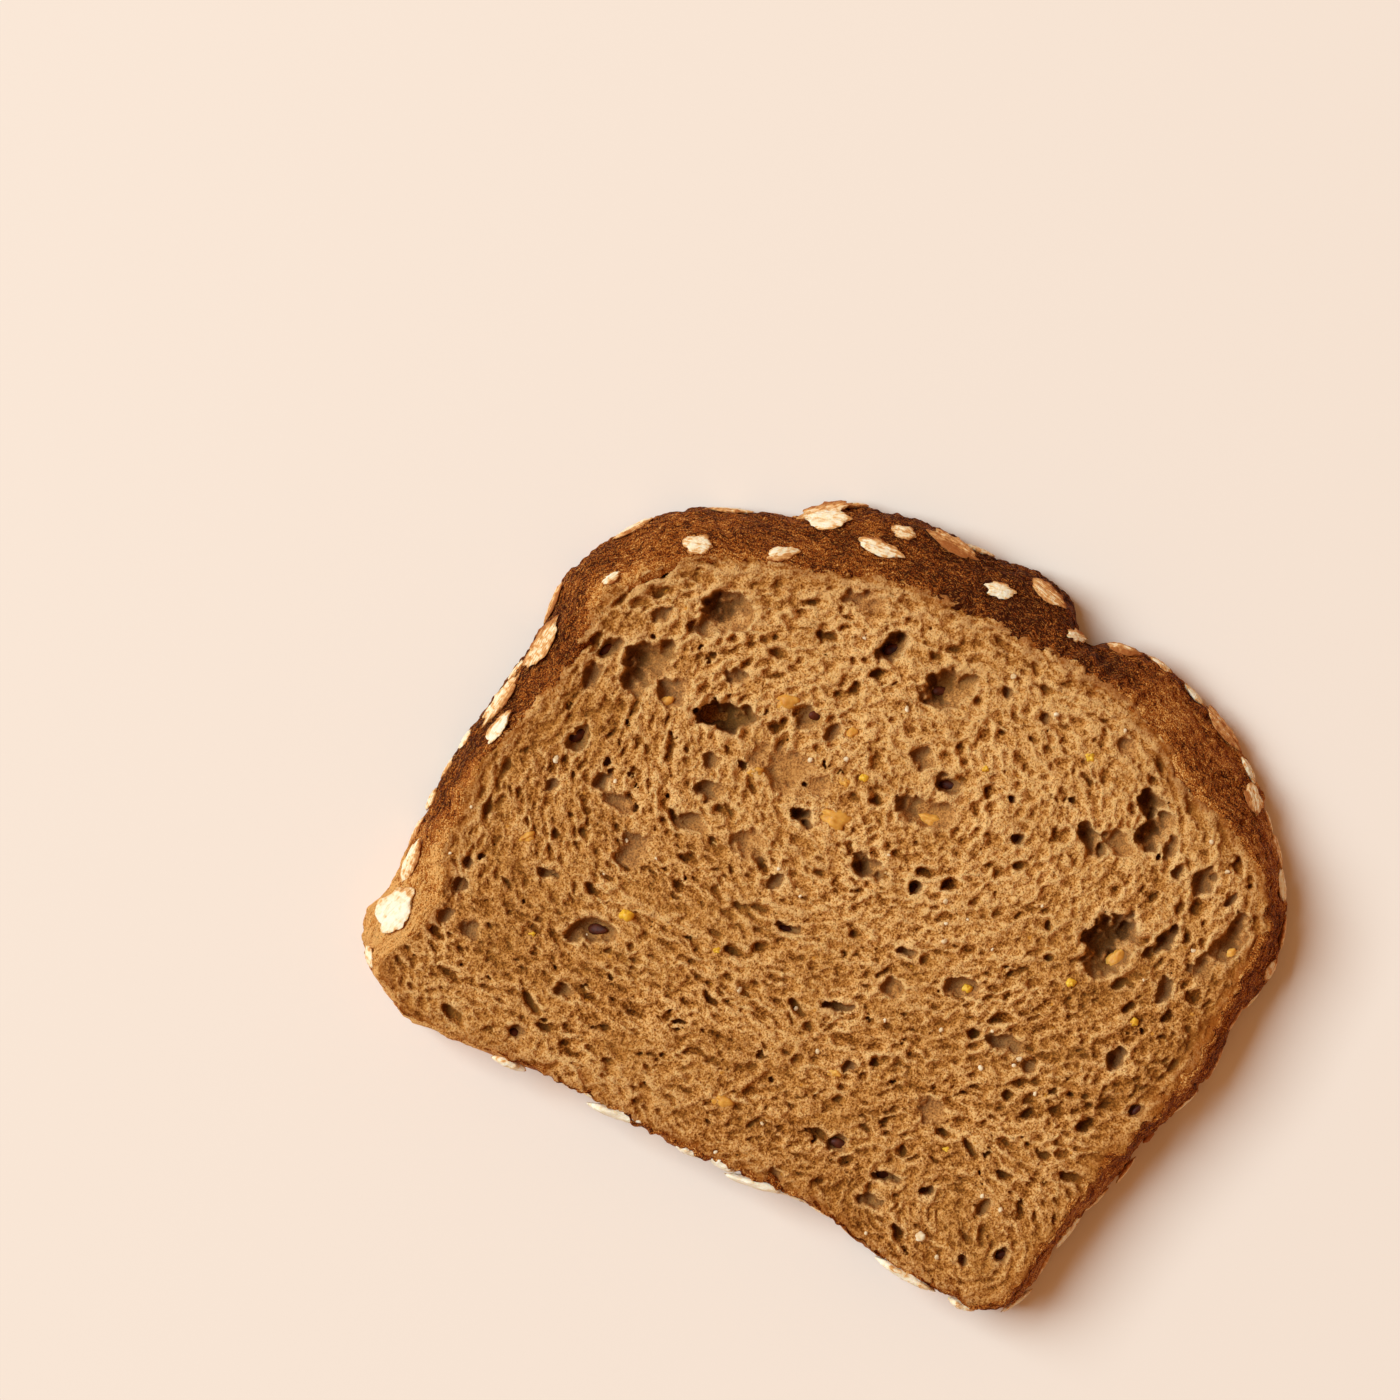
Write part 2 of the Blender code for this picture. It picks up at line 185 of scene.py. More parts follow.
def flatField(spacing):
    xs = np.arange(-68.0, 68.0, spacing)
    ys = np.arange(-58.0, 58.0, spacing)
    x, y = np.meshgrid(xs, ys)
    angle, radius = np.arctan2(y, x), np.hypot(x, y)
    return {"x": x, "y": y, "spacing": spacing, "angle": angle, "radius": radius,
            "inner": innerAt(angle), "outer": widestAt(angle)}


def fieldIndex(field, x, y):
    column = (x - field["x"][0, 0]) / field["spacing"]
    row = (y - field["y"][0, 0]) / field["spacing"]
    rows, columns = field["x"].shape
    return np.clip(row, 0, rows - 1.001), np.clip(column, 0, columns - 1.001)


def readField(field, values, x, y):
    row, column = fieldIndex(field, x, y)
    i, j = row.astype(int), column.astype(int)
    u, v = row - i, column - j
    near = values[i, j] * (1 - v) + values[i, j + 1] * v
    far = values[i + 1, j] * (1 - v) + values[i + 1, j + 1] * v
    return near * (1 - u) + far * u


def blurred(values, cells):
    # Two passes of a running mean along rows and columns
    for _ in range(2):
        for axis in (0, 1):
            padded = np.pad(values, [(cells + 1, cells) if a == axis else (0, 0) for a in (0, 1)], "edge")
            total = np.cumsum(padded, axis=axis)
            size = values.shape[axis]
            high = np.take(total, np.arange(2 * cells + 1, 2 * cells + 1 + size), axis=axis)
            low = np.take(total, np.arange(size), axis=axis)
            values = (high - low) / (2 * cells + 1)
    return values


# Shared modelling steps

def deselectAll():
    if bpy.context.mode != "OBJECT":
        bpy.ops.object.mode_set(mode="OBJECT")
    bpy.ops.object.select_all(action="DESELECT")


def setPlaces(obj, places):
    obj.data.vertices.foreach_set("co", (np.asarray(places) * mm).astype(np.float32).ravel())
    obj.data.update()


def getPlaces(obj):
    places = np.empty(len(obj.data.vertices) * 3, np.float32)
    obj.data.vertices.foreach_get("co", places)
    return places.reshape(-1, 3).astype(float) / mm


def selectVertices(obj, chosen):
    obj.data.polygons.foreach_set("select", np.zeros(len(obj.data.polygons), bool))
    obj.data.edges.foreach_set("select", np.zeros(len(obj.data.edges), bool))
    obj.data.vertices.foreach_set("select", np.asarray(chosen, bool))


def addValues(obj, name, values):
    layer = obj.data.attributes.new(name, "FLOAT", "POINT")
    layer.data.foreach_set("value", np.asarray(values, np.float32))


def addGrid(name, rows, columns):
    # A grid primitive of rows x columns points, to be moved into shape
    deselectAll()
    bpy.ops.mesh.primitive_grid_add(x_subdivisions=columns - 1, y_subdivisions=rows - 1, size=1)
    grid = bpy.context.active_object
    grid.name = name
    grid.data.name = name
    return grid


def makeActive(obj):
    deselectAll()
    bpy.context.view_layer.objects.active = obj
    obj.select_set(True)


def editWhole(*steps):
    # Runs mesh operators on the whole of the active object
    bpy.ops.object.mode_set(mode="EDIT")
    bpy.ops.mesh.select_all(action="SELECT")
    for step in steps:
        step()
    bpy.ops.object.mode_set(mode="OBJECT")


def finishPiece(obj, material):
    makeActive(obj)
    bpy.ops.object.shade_smooth()
    obj.data.materials.clear()
    obj.data.materials.append(material)
    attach(obj, "root")
    obj.select_set(False)
    print("made", obj.name, len(obj.data.polygons), "faces")


# Materials

def screenColour(colour):
    # A colour as seen on a screen, 0 to 255, as the shader wants it
    shares = [part / 255 for part in colour]
    return (*[s / 12.92 if s <= 0.04 else ((s + 0.055) / 1.055) ** 2.4 for s in shares], 1.0)


def addNode(tree, kind, given=None, **settings):
    # Adds a node; its inputs are given as numbers, colours or outputs of other nodes
    across, down = len(tree.nodes) % 8, len(tree.nodes) // 8
    node = tree.nodes.new(kind)
    node.location = (220 * across, -320 * down)
    for key, value in settings.items():
        setattr(node, key, value)
    for socket, value in (given or {}).items():
        if isinstance(value, bpy.types.NodeSocket):
            tree.links.new(value, node.inputs[socket])
        else:
            node.inputs[socket].default_value = value
    return node


def newGroup(name, numbers, output):
    # A node group that takes a place and some numbers and gives one number
    group = bpy.data.node_groups.new(name, "ShaderNodeTree")
    group.interface.new_socket("Place", in_out="INPUT", socket_type="NodeSocketVector")
    for socket, value in numbers.items():
        made = group.interface.new_socket(socket, in_out="INPUT", socket_type="NodeSocketFloat")
        made.default_value = value
    group.interface.new_socket(output, in_out="OUTPUT", socket_type="NodeSocketFloat")
    return group, addNode(group, "NodeGroupInput").outputs


def makeGrainGroup():
    # Noise stretched between two limits, in cells to the millimetre
    group, given = newGroup("Bread grain", {"Cells": 1.0, "Detail": 3.0, "Low": 0.3, "High": 0.7}, "Value")
    scale = {"Vector": given["Place"], "Scale": given["Cells"], "Detail": given["Detail"]}
    noise = addNode(group, "ShaderNodeTexNoise", scale).outputs["Fac"]
    limits = {"Value": noise, "From Min": given["Low"], "From Max": given["High"]}
    spread = addNode(group, "ShaderNodeMapRange", limits).outputs["Result"]
    addNode(group, "NodeGroupOutput", {"Value": spread})
    return group


def makeFleckGroup():
    # Scattered flecks: a share of the cells holds one, of the given size in cells
    group, given = newGroup("Bran flecks", {"Cells": 1.0, "Size": 0.25, "Share": 0.2}, "Mask")
    scale = {"Vector": given["Place"], "Scale": given["Cells"]}
    cells = addNode(group, "ShaderNodeTexVoronoi", scale).outputs
    red = addNode(group, "ShaderNodeSeparateColor", {"Color": cells["Color"]}).outputs["Red"]
    chosen = addNode(group, "ShaderNodeMath", {0: red, 1: given["Share"]}, operation="LESS_THAN").outputs[0]
    edge = addNode(group, "ShaderNodeMath", {0: given["Size"], 1: 0.5}, operation="MULTIPLY").outputs[0]
    away = cells["Distance"]
    limits = {"Value": away, "From Min": edge, "From Max": given["Size"], "To Min": 1.0, "To Max": 0.0}
    disc = addNode(group, "ShaderNodeMapRange", limits, interpolation_type="SMOOTHSTEP").outputs["Result"]
    both = addNode(group, "ShaderNodeMath", {0: disc, 1: chosen}, operation="MULTIPLY").outputs[0]
    addNode(group, "NodeGroupOutput", {"Mask": both})
    return group


grainGroup = makeGrainGroup()
fleckGroup = makeFleckGroup()


class MaterialMaker:
    # Lays out one material: colour layers over each other, then bump, into one shader
    def __init__(self, name, roughness, specular, scatter=0.0):
        self.material = bpy.data.materials.new(name)
        self.material.use_nodes = True
        self.tree = self.material.node_tree
        self.shader = self.tree.nodes["Principled BSDF"].inputs
        self.shader["Roughness"].default_value = roughness
        self.shader["Specular IOR Level"].default_value = specular
        if scatter:
            self.shader["Subsurface Weight"].default_value = scatter
            self.shader["Subsurface Radius"].default_value = (1.0, 0.45, 0.18)
            self.shader["Subsurface Scale"].default_value = 1.2 * mm
        place = {"Vector": self.node("ShaderNodeTexCoord").outputs["Object"], "Scale": (1 / mm,) * 3}
        self.place = self.node("ShaderNodeMapping", place).outputs["Vector"]
        self.colour = None
        self.normal = None

    def node(self, kind, given=None, **settings):
        return addNode(self.tree, kind, given, **settings)

    def values(self, name):
        return self.node("ShaderNodeAttribute", attribute_name=name).outputs["Fac"]

    def combined(self, x, y, z=0.0):
        return self.node("ShaderNodeCombineXYZ", {"X": x, "Y": y, "Z": z}).outputs["Vector"]

    def grain(self, cells, low=0.3, high=0.7, detail=3.0, place=None):
        given = {"Place": place or self.place, "Cells": cells, "Detail": detail, "Low": low, "High": high}
        return self.node("ShaderNodeGroup", given, node_tree=grainGroup).outputs["Value"]

    def flecks(self, cells, size, share):
        given = {"Place": self.place, "Cells": cells, "Size": size, "Share": share}
        return self.node("ShaderNodeGroup", given, node_tree=fleckGroup).outputs["Mask"]

    def pores(self, cells, wander, middle=0.15, wall=0.68):
        # Pores packed side by side: 0 at the middle of each, 1 at its walls
        noise = self.node("ShaderNodeTexNoise", {"Vector": self.place, "Scale": 0.6 * cells}).outputs["Color"]
        shift = self.node("ShaderNodeVectorMath", {0: noise, "Scale": wander}, operation="SCALE").outputs[0]
        place = self.node("ShaderNodeVectorMath", {0: self.place, 1: shift}, operation="ADD").outputs[0]
        pore = self.node("ShaderNodeTexVoronoi", {"Vector": place, "Scale": cells}).outputs["Distance"]
        limits = {"Value": pore, "From Min": middle, "From Max": wall}
        return self.node("ShaderNodeMapRange", limits, interpolation_type="SMOOTHSTEP").outputs["Result"]

    def maths(self, operation, first, second, clamp):
        given = {0: first, 1: second}
        return self.node("ShaderNodeMath", given, operation=operation, use_clamp=clamp).outputs[0]

    def plus(self, first, second, clamp=False):
        return self.maths("ADD", first, second, clamp)

    def times(self, first, second):
        return self.maths("MULTIPLY", first, second, False)

    def ramp(self, value, stops):
        node = self.node("ShaderNodeValToRGB", {"Fac": value})
        elements = node.color_ramp.elements
        while len(elements) < len(stops):
            elements.new(0.5)
        for element, (position, colour) in zip(elements, stops):
            element.position = position
            element.color = screenColour(colour)
        self.colour = node.outputs["Color"]

    def paint(self, colour, mask, share):
        # Puts a share of a colour over what is there where the mask is high
        given = {"Factor": self.times(mask, share), "A": self.colour, "B": screenColour(colour)}
        self.colour = self.node("ShaderNodeMix", given, data_type="RGBA").outputs["Result"]

    def bump(self, height, strength, depth):
        given = {"Height": height, "Strength": strength, "Distance": depth * mm}
        if self.normal:
            given["Normal"] = self.normal
        self.normal = self.node("ShaderNodeBump", given).outputs["Normal"]

    def finish(self):
        self.tree.links.new(self.colour, self.shader["Base Color"])
        self.tree.links.new(self.normal, self.shader["Normal"])
        return self.material


def makeCrumbMaterial():
    maker = MaterialMaker("Open crumb", roughness=0.95, specular=0.06, scatter=0.08)
    # Painted shade in the fine pores: darker at their middles and in fine noise, lighter at their walls
    wall = maker.pores(1.9, 0.9)
    shadeAndTone = maker.plus(maker.values("shadeAndTone"), maker.times(maker.grain(3.4, 0.36, 0.66, detail=5.0), 0.32))
    shadeAndTone = maker.plus(shadeAndTone, maker.times(wall, -0.26))
    # The ramp paints shade and tone: pale on the walls, dark brown deep in the hollows
    maker.ramp(maker.plus(shadeAndTone, 0.015), [
        (0.04, (243, 187, 118)),
        (0.24, (219, 152, 82)),
        (0.42, (183, 115, 49)),
        (0.64, (124, 65, 13)),
        (0.95, (58, 24, 2)),
    ])
    maker.paint((204, 145, 88), maker.values("smoothCell"), 0.4)
    # Painted highlight on the crests of the crumb walls
    maker.paint((250, 206, 146), maker.values("ridgeHighlight"), 0.4)
    maker.paint((190, 126, 56), maker.grain(0.11, 0.35, 0.65), 0.3)
    # Painted shade: dark spots for the finest pores
    maker.paint((112, 60, 12), maker.grain(3.4, 0.54, 0.66), 0.55)
    maker.paint((104, 46, 12), maker.flecks(1.1, 0.26, 0.12), 0.7)
    maker.paint((224, 146, 44), maker.flecks(0.5, 0.2, 0.05), 0.5)
    maker.paint((150, 76, 20), maker.values("browning"), 0.8)
    maker.bump(maker.plus(maker.grain(4.0, detail=4.0), wall), 0.55, 0.25)
    return maker.finish()


def makeCrustMaterial():
    maker = MaterialMaker("Baked crust", roughness=0.65, specular=0.07)
    toast = maker.values("toast")
    along, down = maker.values("alongCrust"), maker.values("downCrust")
    place = maker.combined(maker.times(along, 0.7), maker.times(down, 2.2))
    strands = maker.grain(1.0, 0.32, 0.68, detail=6.0, place=place)
    both = maker.plus(maker.times(strands, 0.45), maker.times(maker.grain(4.2, 0.34, 0.66, detail=5.0), 0.55))
    strength = maker.plus(maker.times(toast, 0.8), 1.05)
    tone = maker.plus(toast, maker.times(maker.values("fibre"), 0.10))
    tone = maker.plus(tone, maker.times(maker.plus(both, -0.5), strength), clamp=True)
    maker.ramp(tone, [
        (0.00, (255, 186, 108)),
        (0.25, (213, 134, 57)),
        (0.50, (176, 88, 24)),
        (0.75, (130, 54, 11)),
        (1.00, (68, 24, 3)),
    ])
    maker.paint((222, 136, 60), maker.grain(2.0, 0.55, 0.63, detail=4.0, place=place), 0.55)
    maker.paint((226, 146, 72), maker.flecks(3.2, 0.36, 0.2), 0.6)
    maker.paint((66, 24, 4), maker.flecks(2.2, 0.34, 0.2), 0.55)
    maker.bump(strands, 0.6, 0.3)
    maker.bump(maker.grain(4.2, detail=5.0), 0.9, 0.28)
    return maker.finish()


def makeOatMaterial():
    maker = MaterialMaker("Rolled oats", roughness=0.75, specular=0.25, scatter=0.1)
    along, across = maker.times(maker.values("lengthways"), 0.8), maker.times(maker.values("sideways"), 5.0)
    place = maker.combined(along, across, maker.values("number"))
    lines = maker.grain(1.0, 0.35, 0.65, place=place)
    toast = maker.plus(maker.values("toast"), maker.times(lines, 0.32))
    toast = maker.plus(toast, maker.times(maker.grain(1.1, 0.46, 0.6), 0.28), clamp=True)
    maker.ramp(toast, [
        (0.10, (252, 234, 206)),
        (0.40, (250, 218, 172)),
        (0.62, (228, 162, 94)),
        (1.00, (168, 94, 38)),
    ])
    maker.bump(lines, 0.5, 0.12)
    maker.bump(maker.grain(2.5), 0.4, 0.1)
    return maker.finish()


def makeGrainMaterial(name, light, dark, roughness, specular, scatter=0.0):
    maker = MaterialMaker(name, roughness, specular, scatter)
    maker.ramp(maker.grain(0.9), [(0.0, dark), (1.0, light)])
    maker.bump(maker.grain(2.2), 0.3, 0.08)
    return maker.finish()


crumbMaterial = makeCrumbMaterial()
crustMaterial = makeCrustMaterial()
oatMaterial = makeOatMaterial()
seedMaterial = makeGrainMaterial("Flax seeds", (96, 38, 14), (44, 14, 5), 0.5, 0.15)
kernelMaterial = makeGrainMaterial("Amber kernels", (238, 172, 76), (202, 130, 44), 0.5, 0.25, scatter=0.2)
gritMaterial = makeGrainMaterial("Yellow grits", (248, 196, 60), (222, 152, 24), 0.5, 0.4, scatter=0.2)
scrapMaterial = makeGrainMaterial("Loose crumbs", (252, 228, 192), (216, 172, 118), 0.9, 0.2)
print("materials ready")


# The crumb: a cut through packed bubbles

crumbShape = {
    "spacing": 0.225,
    "trianglesWanted": 198000,
    "seed": 71,
    "backLevel": 4.0,  # where the piece is closed behind, out of sight
    "swirlMiddle": (-3.0, 15.0),
    "swirlStretch": 1.6,
    "swirlTurn": 24.0,  # the rings are drawn out this way, in degrees from +X
    "warp": ((0.36, 3.4), (0.22, 1.4), (0.12, 0.7)),  # how far, and at what size, cells are bent out of round
    "raggedRim": 0.38,
    # Cells by size: how many, radii, depth for each mm of radius, share of the close crumb that has them
    "cells": (
        (3200, 0.55, 1.5, 0.4, 1.5, 0.32),
        (25000, 0.36, 0.8, 0.35, 1.4, 0.8),
    ),
    "deepCells": 900,
    "waves": ((0.22, 7.0), (0.16, 2.6)),
    "streaks": 0.3,
    "slump": 0.2,  # how far torn walls stand below the cut
    # Wide hollows and cells: how steep their walls are, and how much deeper they are towards -X
    "wideBowl": (0.34, 0.55),
    "cellBowl": (0.62, 0.45),
    "pitLevel": 0.22,  # how dark the flat crumb looks
    "shadeShares": (0.52, 0.18, -0.075, 0.13, 0.3),  # painted shade for fine and wide relief and for height, darker tone along streaks and fibres
}

# The underside has coarser points, as it lies on the surface
underShape = {
    **crumbShape,
    "spacing": 0.4,
    "trianglesWanted": 110000,
    "seed": 97,
    "backLevel": 5.6,
    "warp": ((0.50, 3.4), (0.26, 1.4)),
    "raggedRim": 0.3,
    "cells": (
        (1500, 0.7, 1.7, 0.3, 1.5, 0.12),
        (7000, 0.42, 0.8, 0.45, 1.7, 0.5),
        (9000, 0.32, 0.5, 0.7, 1.5, 0.9),
    ),
    "deepCells": 2500,
    "streaks": 0.16,
    "slump": 0.16,
    "hollows": 26,
}

# The widest hollows: middle, length, width, turn in degrees, depth
wideHollows = [
    (-29.6, 11.5, 9.5, 4.4, 20, 7), (-31.2, 11.4, 5.6, 3.8, 20, 8), (-44.4, 12.9, 8.5, 7.5, 60, 3.6),
    (-37.8, 25.8, 8.5, 6.8, 30, 3.6), (-39.4, 10.6, 5, 4.4, 90, 2.4), (-51.1, 12, 4.2, 2.7, 80, 3),
    (-51.6, 7, 4, 3, 80, 2.6), (-12.3, 33.7, 5, 3.8, 70, 4.2), (-2, 32, 8, 5.8, 20, 4),
    (-26.6, 0.4, 4.2, 3.4, 10, 2.6), (-16.9, -4, 5.2, 4.8, 0, 1.6), (-26.4, -5.2, 4.5, 3, 5, 2),
    (-12.3, 3.7, 4.2, 2.1, 5, 3.4), (1, 1.6, 5.5, 3.4, 10, 3.6), (-13.9, 18, 3.8, 2.5, 80, 2.4),
    (-18.2, 17.4, 4.2, 3.8, 45, 2), (-28.4, 4.4, 3.5, 2.5, 10, 2), (-48.5, -2.5, 4, 3, 80, 3),
    (-20.3, 37.7, 6.2, 3, 18, 1.6), (-31.5, 18, 3.4, 2.7, 30, 2.2), (-16.5, 9, 12, 7.5, 5, 1.5),
    (-14.1, 8.2, 1.5, 1.2, 0, 3.4), (39.8, 9.5, 10.7, 7.5, 82, 4.6), (56.2, 19.5, 8.3, 4, 88, 3.4),
    (34.8, 31.7, 5.2, 3.8, -25, 4.2), (37.8, 28, 6.2, 4.8, 60, 4), (41, 27, 4, 2, 88, 2.6),
    (33.4, 24, 5.5, 4, -25, 2.6), (29, 22.2, 6, 2.5, -35, 3.6), (48.1, 25.4, 5.7, 3.2, 75, 3),
    (43.6, 24.8, 3, 2, 75, 2.4), (53, 24.6, 3, 1.5, 75, 2.2), (5.7, 19, 4.2, 2.8, 0, 3.4),
    (0.2, 20.9, 4.5, 3.3, 15, 2.2), (4.7, 13.5, 9.5, 4.2, 8, 2.6), (19.5, 17.1, 2.4, 2.1, 0, 3.4),
    (15.7, 21.8, 1.4, 1.3, 0, 3.4), (47.2, 14, 5.4, 2.3, 88, 3.6), (54.1, 13.5, 3.9, 3.6, 60, 2),
    (9, 2.4, 2.4, 2, 60, 3.2), (50.8, 7.3, 4.6, 2.3, 85, 2.6), (27.3, 37.7, 4.2, 2.7, -15, 1.4),
    (14.4, 35.4, 2.6, 2, 0, 2), (7, 35.9, 2.6, 1.6, 0, 2), (-32.2, -27.7, 7, 3.3, 25, 2.8),
    (-42.4, -23.5, 3.4, 1.5, 10, 2.4), (-54.3, -27.9, 2.2, 2, 0, 2.4), (-53.6, -31.3, 2.6, 2.2, 0, 2.4),
    (-53.4, -36.9, 3, 2.2, 85, 2.4), (-48.9, -36.9, 3.2, 3, 0, 1.8), (-41.8, -6.7, 3.4, 3, 85, 2.6),
    (-38, -8.5, 5, 2.6, 5, 1.6), (-48.5, -11.4, 3, 2, 85, 2.2), (-32.4, -13.2, 5.5, 5, 80, 1.5),
    (-10.5, -7.4, 3, 2, 80, 2.2), (-5.2, -12.8, 3.6, 1.7, 20, 3.4), (-34.8, -47.6, 2.9, 2.5, 60, 2.6),
    (-31.3, -38.6, 2.8, 1.8, 10, 2.2), (49, -6, 4.2, 2.6, 85, 3.4), (22.8, -7.6, 6.2, 3.1, 25, 2.4),
    (13.8, -12.9, 3.2, 3, 0, 1.8), (12.8, -7, 3.2, 1.6, 10, 2.2), (33, -12, 6, 2.6, 20, 2.4),
    (38, -13.7, 3, 2, 20, 2), (7.2, -19.4, 5, 1.6, 30, 3.2), (13.5, -27.2, 2.5, 2, 20, 2),
    (28, -27, 5, 4, 10, 1.4), (18, -38.4, 3.2, 2.2, 10, 2.4), (27.1, -39.3, 4.3, 1.5, 10, 3.4),
    (33.6, -38, 2.6, 1.5, 30, 3.6), (42.8, -36, 2.7, 2, 70, 2.4), (48.8, -41.3, 2.8, 2.5, 70, 2.6),
    (26.5, -43.6, 3.6, 2, 10, 2.8), (44, -45.3, 2.2, 2, 0, 2.6), (11.7, -47.3, 3.2, 1.6, 0, 1.8),
    (56.2, -11.2, 2.6, 2.4, 0, 2.6), (-50.7, 24.9, 8, 1.1, 57, 4.4), (38.4, 37.9, 6.6, 1.1, -25, 4),
    (-46.5, 20.5, 3.4, 2, 60, 2),
]


def swirlMap(field, look):
    # Rings round the middle that turn into rings along the crust, and their direction
    x, y = field["x"] - look["swirlMiddle"][0], field["y"] - look["swirlMiddle"][1]
    turn = math.radians(look["swirlTurn"])
    across = (x * math.cos(turn) + y * math.sin(turn)) / look["swirlStretch"]
    up = y * math.cos(turn) - x * math.sin(turn)
    rim = field["radius"] / field["outer"]
    weight = np.clip(rim, 0, 1) ** 3
    rings = np.hypot(across, up) * (1 - weight) + 50 * rim * weight
    slopeY, slopeX = np.gradient(rings, field["spacing"])
    bend = 0.3 * layeredNoise(field["x"], field["y"], 9.0, look["seed"] + 5)
    return rings, np.arctan2(slopeX, -slopeY) + bend


def streakNoise(field, rings, length, width, seed):
    # Noise drawn out along the rings
    around = int(round(2 * math.pi * 36 / length))
    turns = field["angle"] / (2 * math.pi) * around
    wander = 0.5 * layeredNoise(field["x"], field["y"], 6.0, seed + 3)
    drawn = latticeNoise(turns, (rings + wander) / width + 40, seed, around=around)
    near = easeStep(rings, 8, 22)
    return drawn * near + layeredNoise(field["x"], field["y"], width * 1.5, seed + 7, layers=1) * (1 - near)


def opennessMap(x, y, seed):
    # 0 where the crumb is close and fine, 1 where it is coarse
    lift = easeStep(y, -24, 22) * 0.65 + easeStep(x, 18, 50) * 0.5
    return np.clip(0.10 + lift + 0.3 * layeredNoise(x, y, 13.0, seed + 9), 0, 1)


def windowRound(field, x, y, reach):
    # The part of the field near a place, and how far its points are from the place, across and up
    cells = int(reach / field["spacing"]) + 2
    i = int((y - field["y"][0, 0]) / field["spacing"])
    j = int((x - field["x"][0, 0]) / field["spacing"])
    window = slice(max(i - cells, 0), i + cells + 1), slice(max(j - cells, 0), j + cells + 1)
    return window, field["warpedX"][window] - x, field["warpedY"][window] - y


def randomPlaces(field, draw, count):
    x, y = draw.uniform(-65, 65, count), draw.uniform(-55, 55, count)
    row, column = fieldIndex(field, x, y)
    return x, y, row.astype(int), column.astype(int)


def scatterCells(field, look, draw, swirl, kind):
    # Cells of one size: middle, half length, half width, turn, depth
    count, small, large, shallow, deep, closeShare = kind
    x, y, row, column = randomPlaces(field, draw, count)
    openness = np.clip(opennessMap(x, y, look["seed"]) + 0.4 * field["bands"][row, column], 0, 1)
    size = small + (large - small) * draw.uniform(0, 1, count) ** 1.8
    room = field["edge"][row, column]
    chance = closeShare + (1 - closeShare) * openness**1.3
    chance = np.where(room < 2.2, chance * np.clip(1.4 - size, 0.25, 1), chance)
    kept = (room > 0.2) & (draw.uniform(0, 1, count) < chance)
    outward = easeStep(field["rings"][row, column], 6, 20)
    stretch = 1.1 + (0.3 + 0.6 * outward) * draw.uniform(0, 1, count)
    stretch += 2.0 * outward * (1 - openness) * draw.uniform(0, 1, count)
    stretch += 1.6 * easeStep(-room, -5.0, -0.5)
    turn = swirl[row, column] + draw.normal(0, 0.2, count)
    depth = size * np.exp(draw.uniform(math.log(shallow), math.log(deep), count))
    columns = (x, y, size * np.sqrt(stretch), size / np.sqrt(stretch), turn, depth)
    return np.stack(columns, axis=-1)[kept]


def clusterOf(hollow, draw):
    # A wide hollow is a few cells run together
    x, y, length, width, turn, depth = hollow
    x, y = slicePlace(x, y)
    turn = math.radians(turn)
    parts = [(x, y, length / 2, width / 2, turn, depth)]
    if length < 3.2:
        return parts
    for side in (-1, 1, -0.4, 0.5):
        along = side * length * draw.uniform(0.26, 0.4)
        across = draw.uniform(-0.3, 0.3) * width
        size = draw.uniform(0.42, 0.62)
        parts.append((
            x + along * math.cos(turn) - across * math.sin(turn),
            y + along * math.sin(turn) + across * math.cos(turn),
            size * length * 0.42, size * width * 0.62,
            turn + draw.uniform(-0.5, 0.5), depth * draw.uniform(0.6, 0.95),
        ))
    return parts


def carve(floor, field, cells, bowl, ragged):
    steepness, lean = bowl
    for x, y, length, width, turn, depth in cells:
        window, across, up = windowRound(field, x, y, length * 1.2 + 0.7)
        c, s = math.cos(turn), math.sin(turn)
        inside = 1 - ((across * c + up * s) / length) ** 2 - ((up * c - across * s) / width) ** 2
        inside = inside + ragged * field["ragged"][window]
        sunk = -depth * np.clip(inside, 0, 1) ** steepness * (1 - lean * across / length)
        floor[window] = np.minimum(floor[window], sunk)


def carveDeep(floor, field, count, draw, smoothCell):
    # Cells lower down, seen only where one above has opened them
    opened = -0.3
    x, y, row, column = randomPlaces(field, draw, count)
    size = 0.55 * np.exp(draw.normal(0, 0.3, count))
    centre = -draw.uniform(0.4, 1.8, count)
    chosen = draw.uniform(0, 1, count) > 0.85 * smoothCell[row, column]
    chosen &= (floor[row, column] < opened) & (field["edge"][row, column] > size)
    for k in np.flatnonzero(chosen):
        window, across, up = windowRound(field, x[k], y[k], size[k] + 0.4)
        inside = 1 - (across**2 + up**2) / size[k] ** 2
        reach = size[k] * np.sqrt(np.clip(inside, 0, 1))
        here = floor[window]
        seen = (inside > 0) & (centre[k] + reach > here - 0.05) & (here < opened)
        here[seen] = np.minimum(here, centre[k] - reach)[seen]


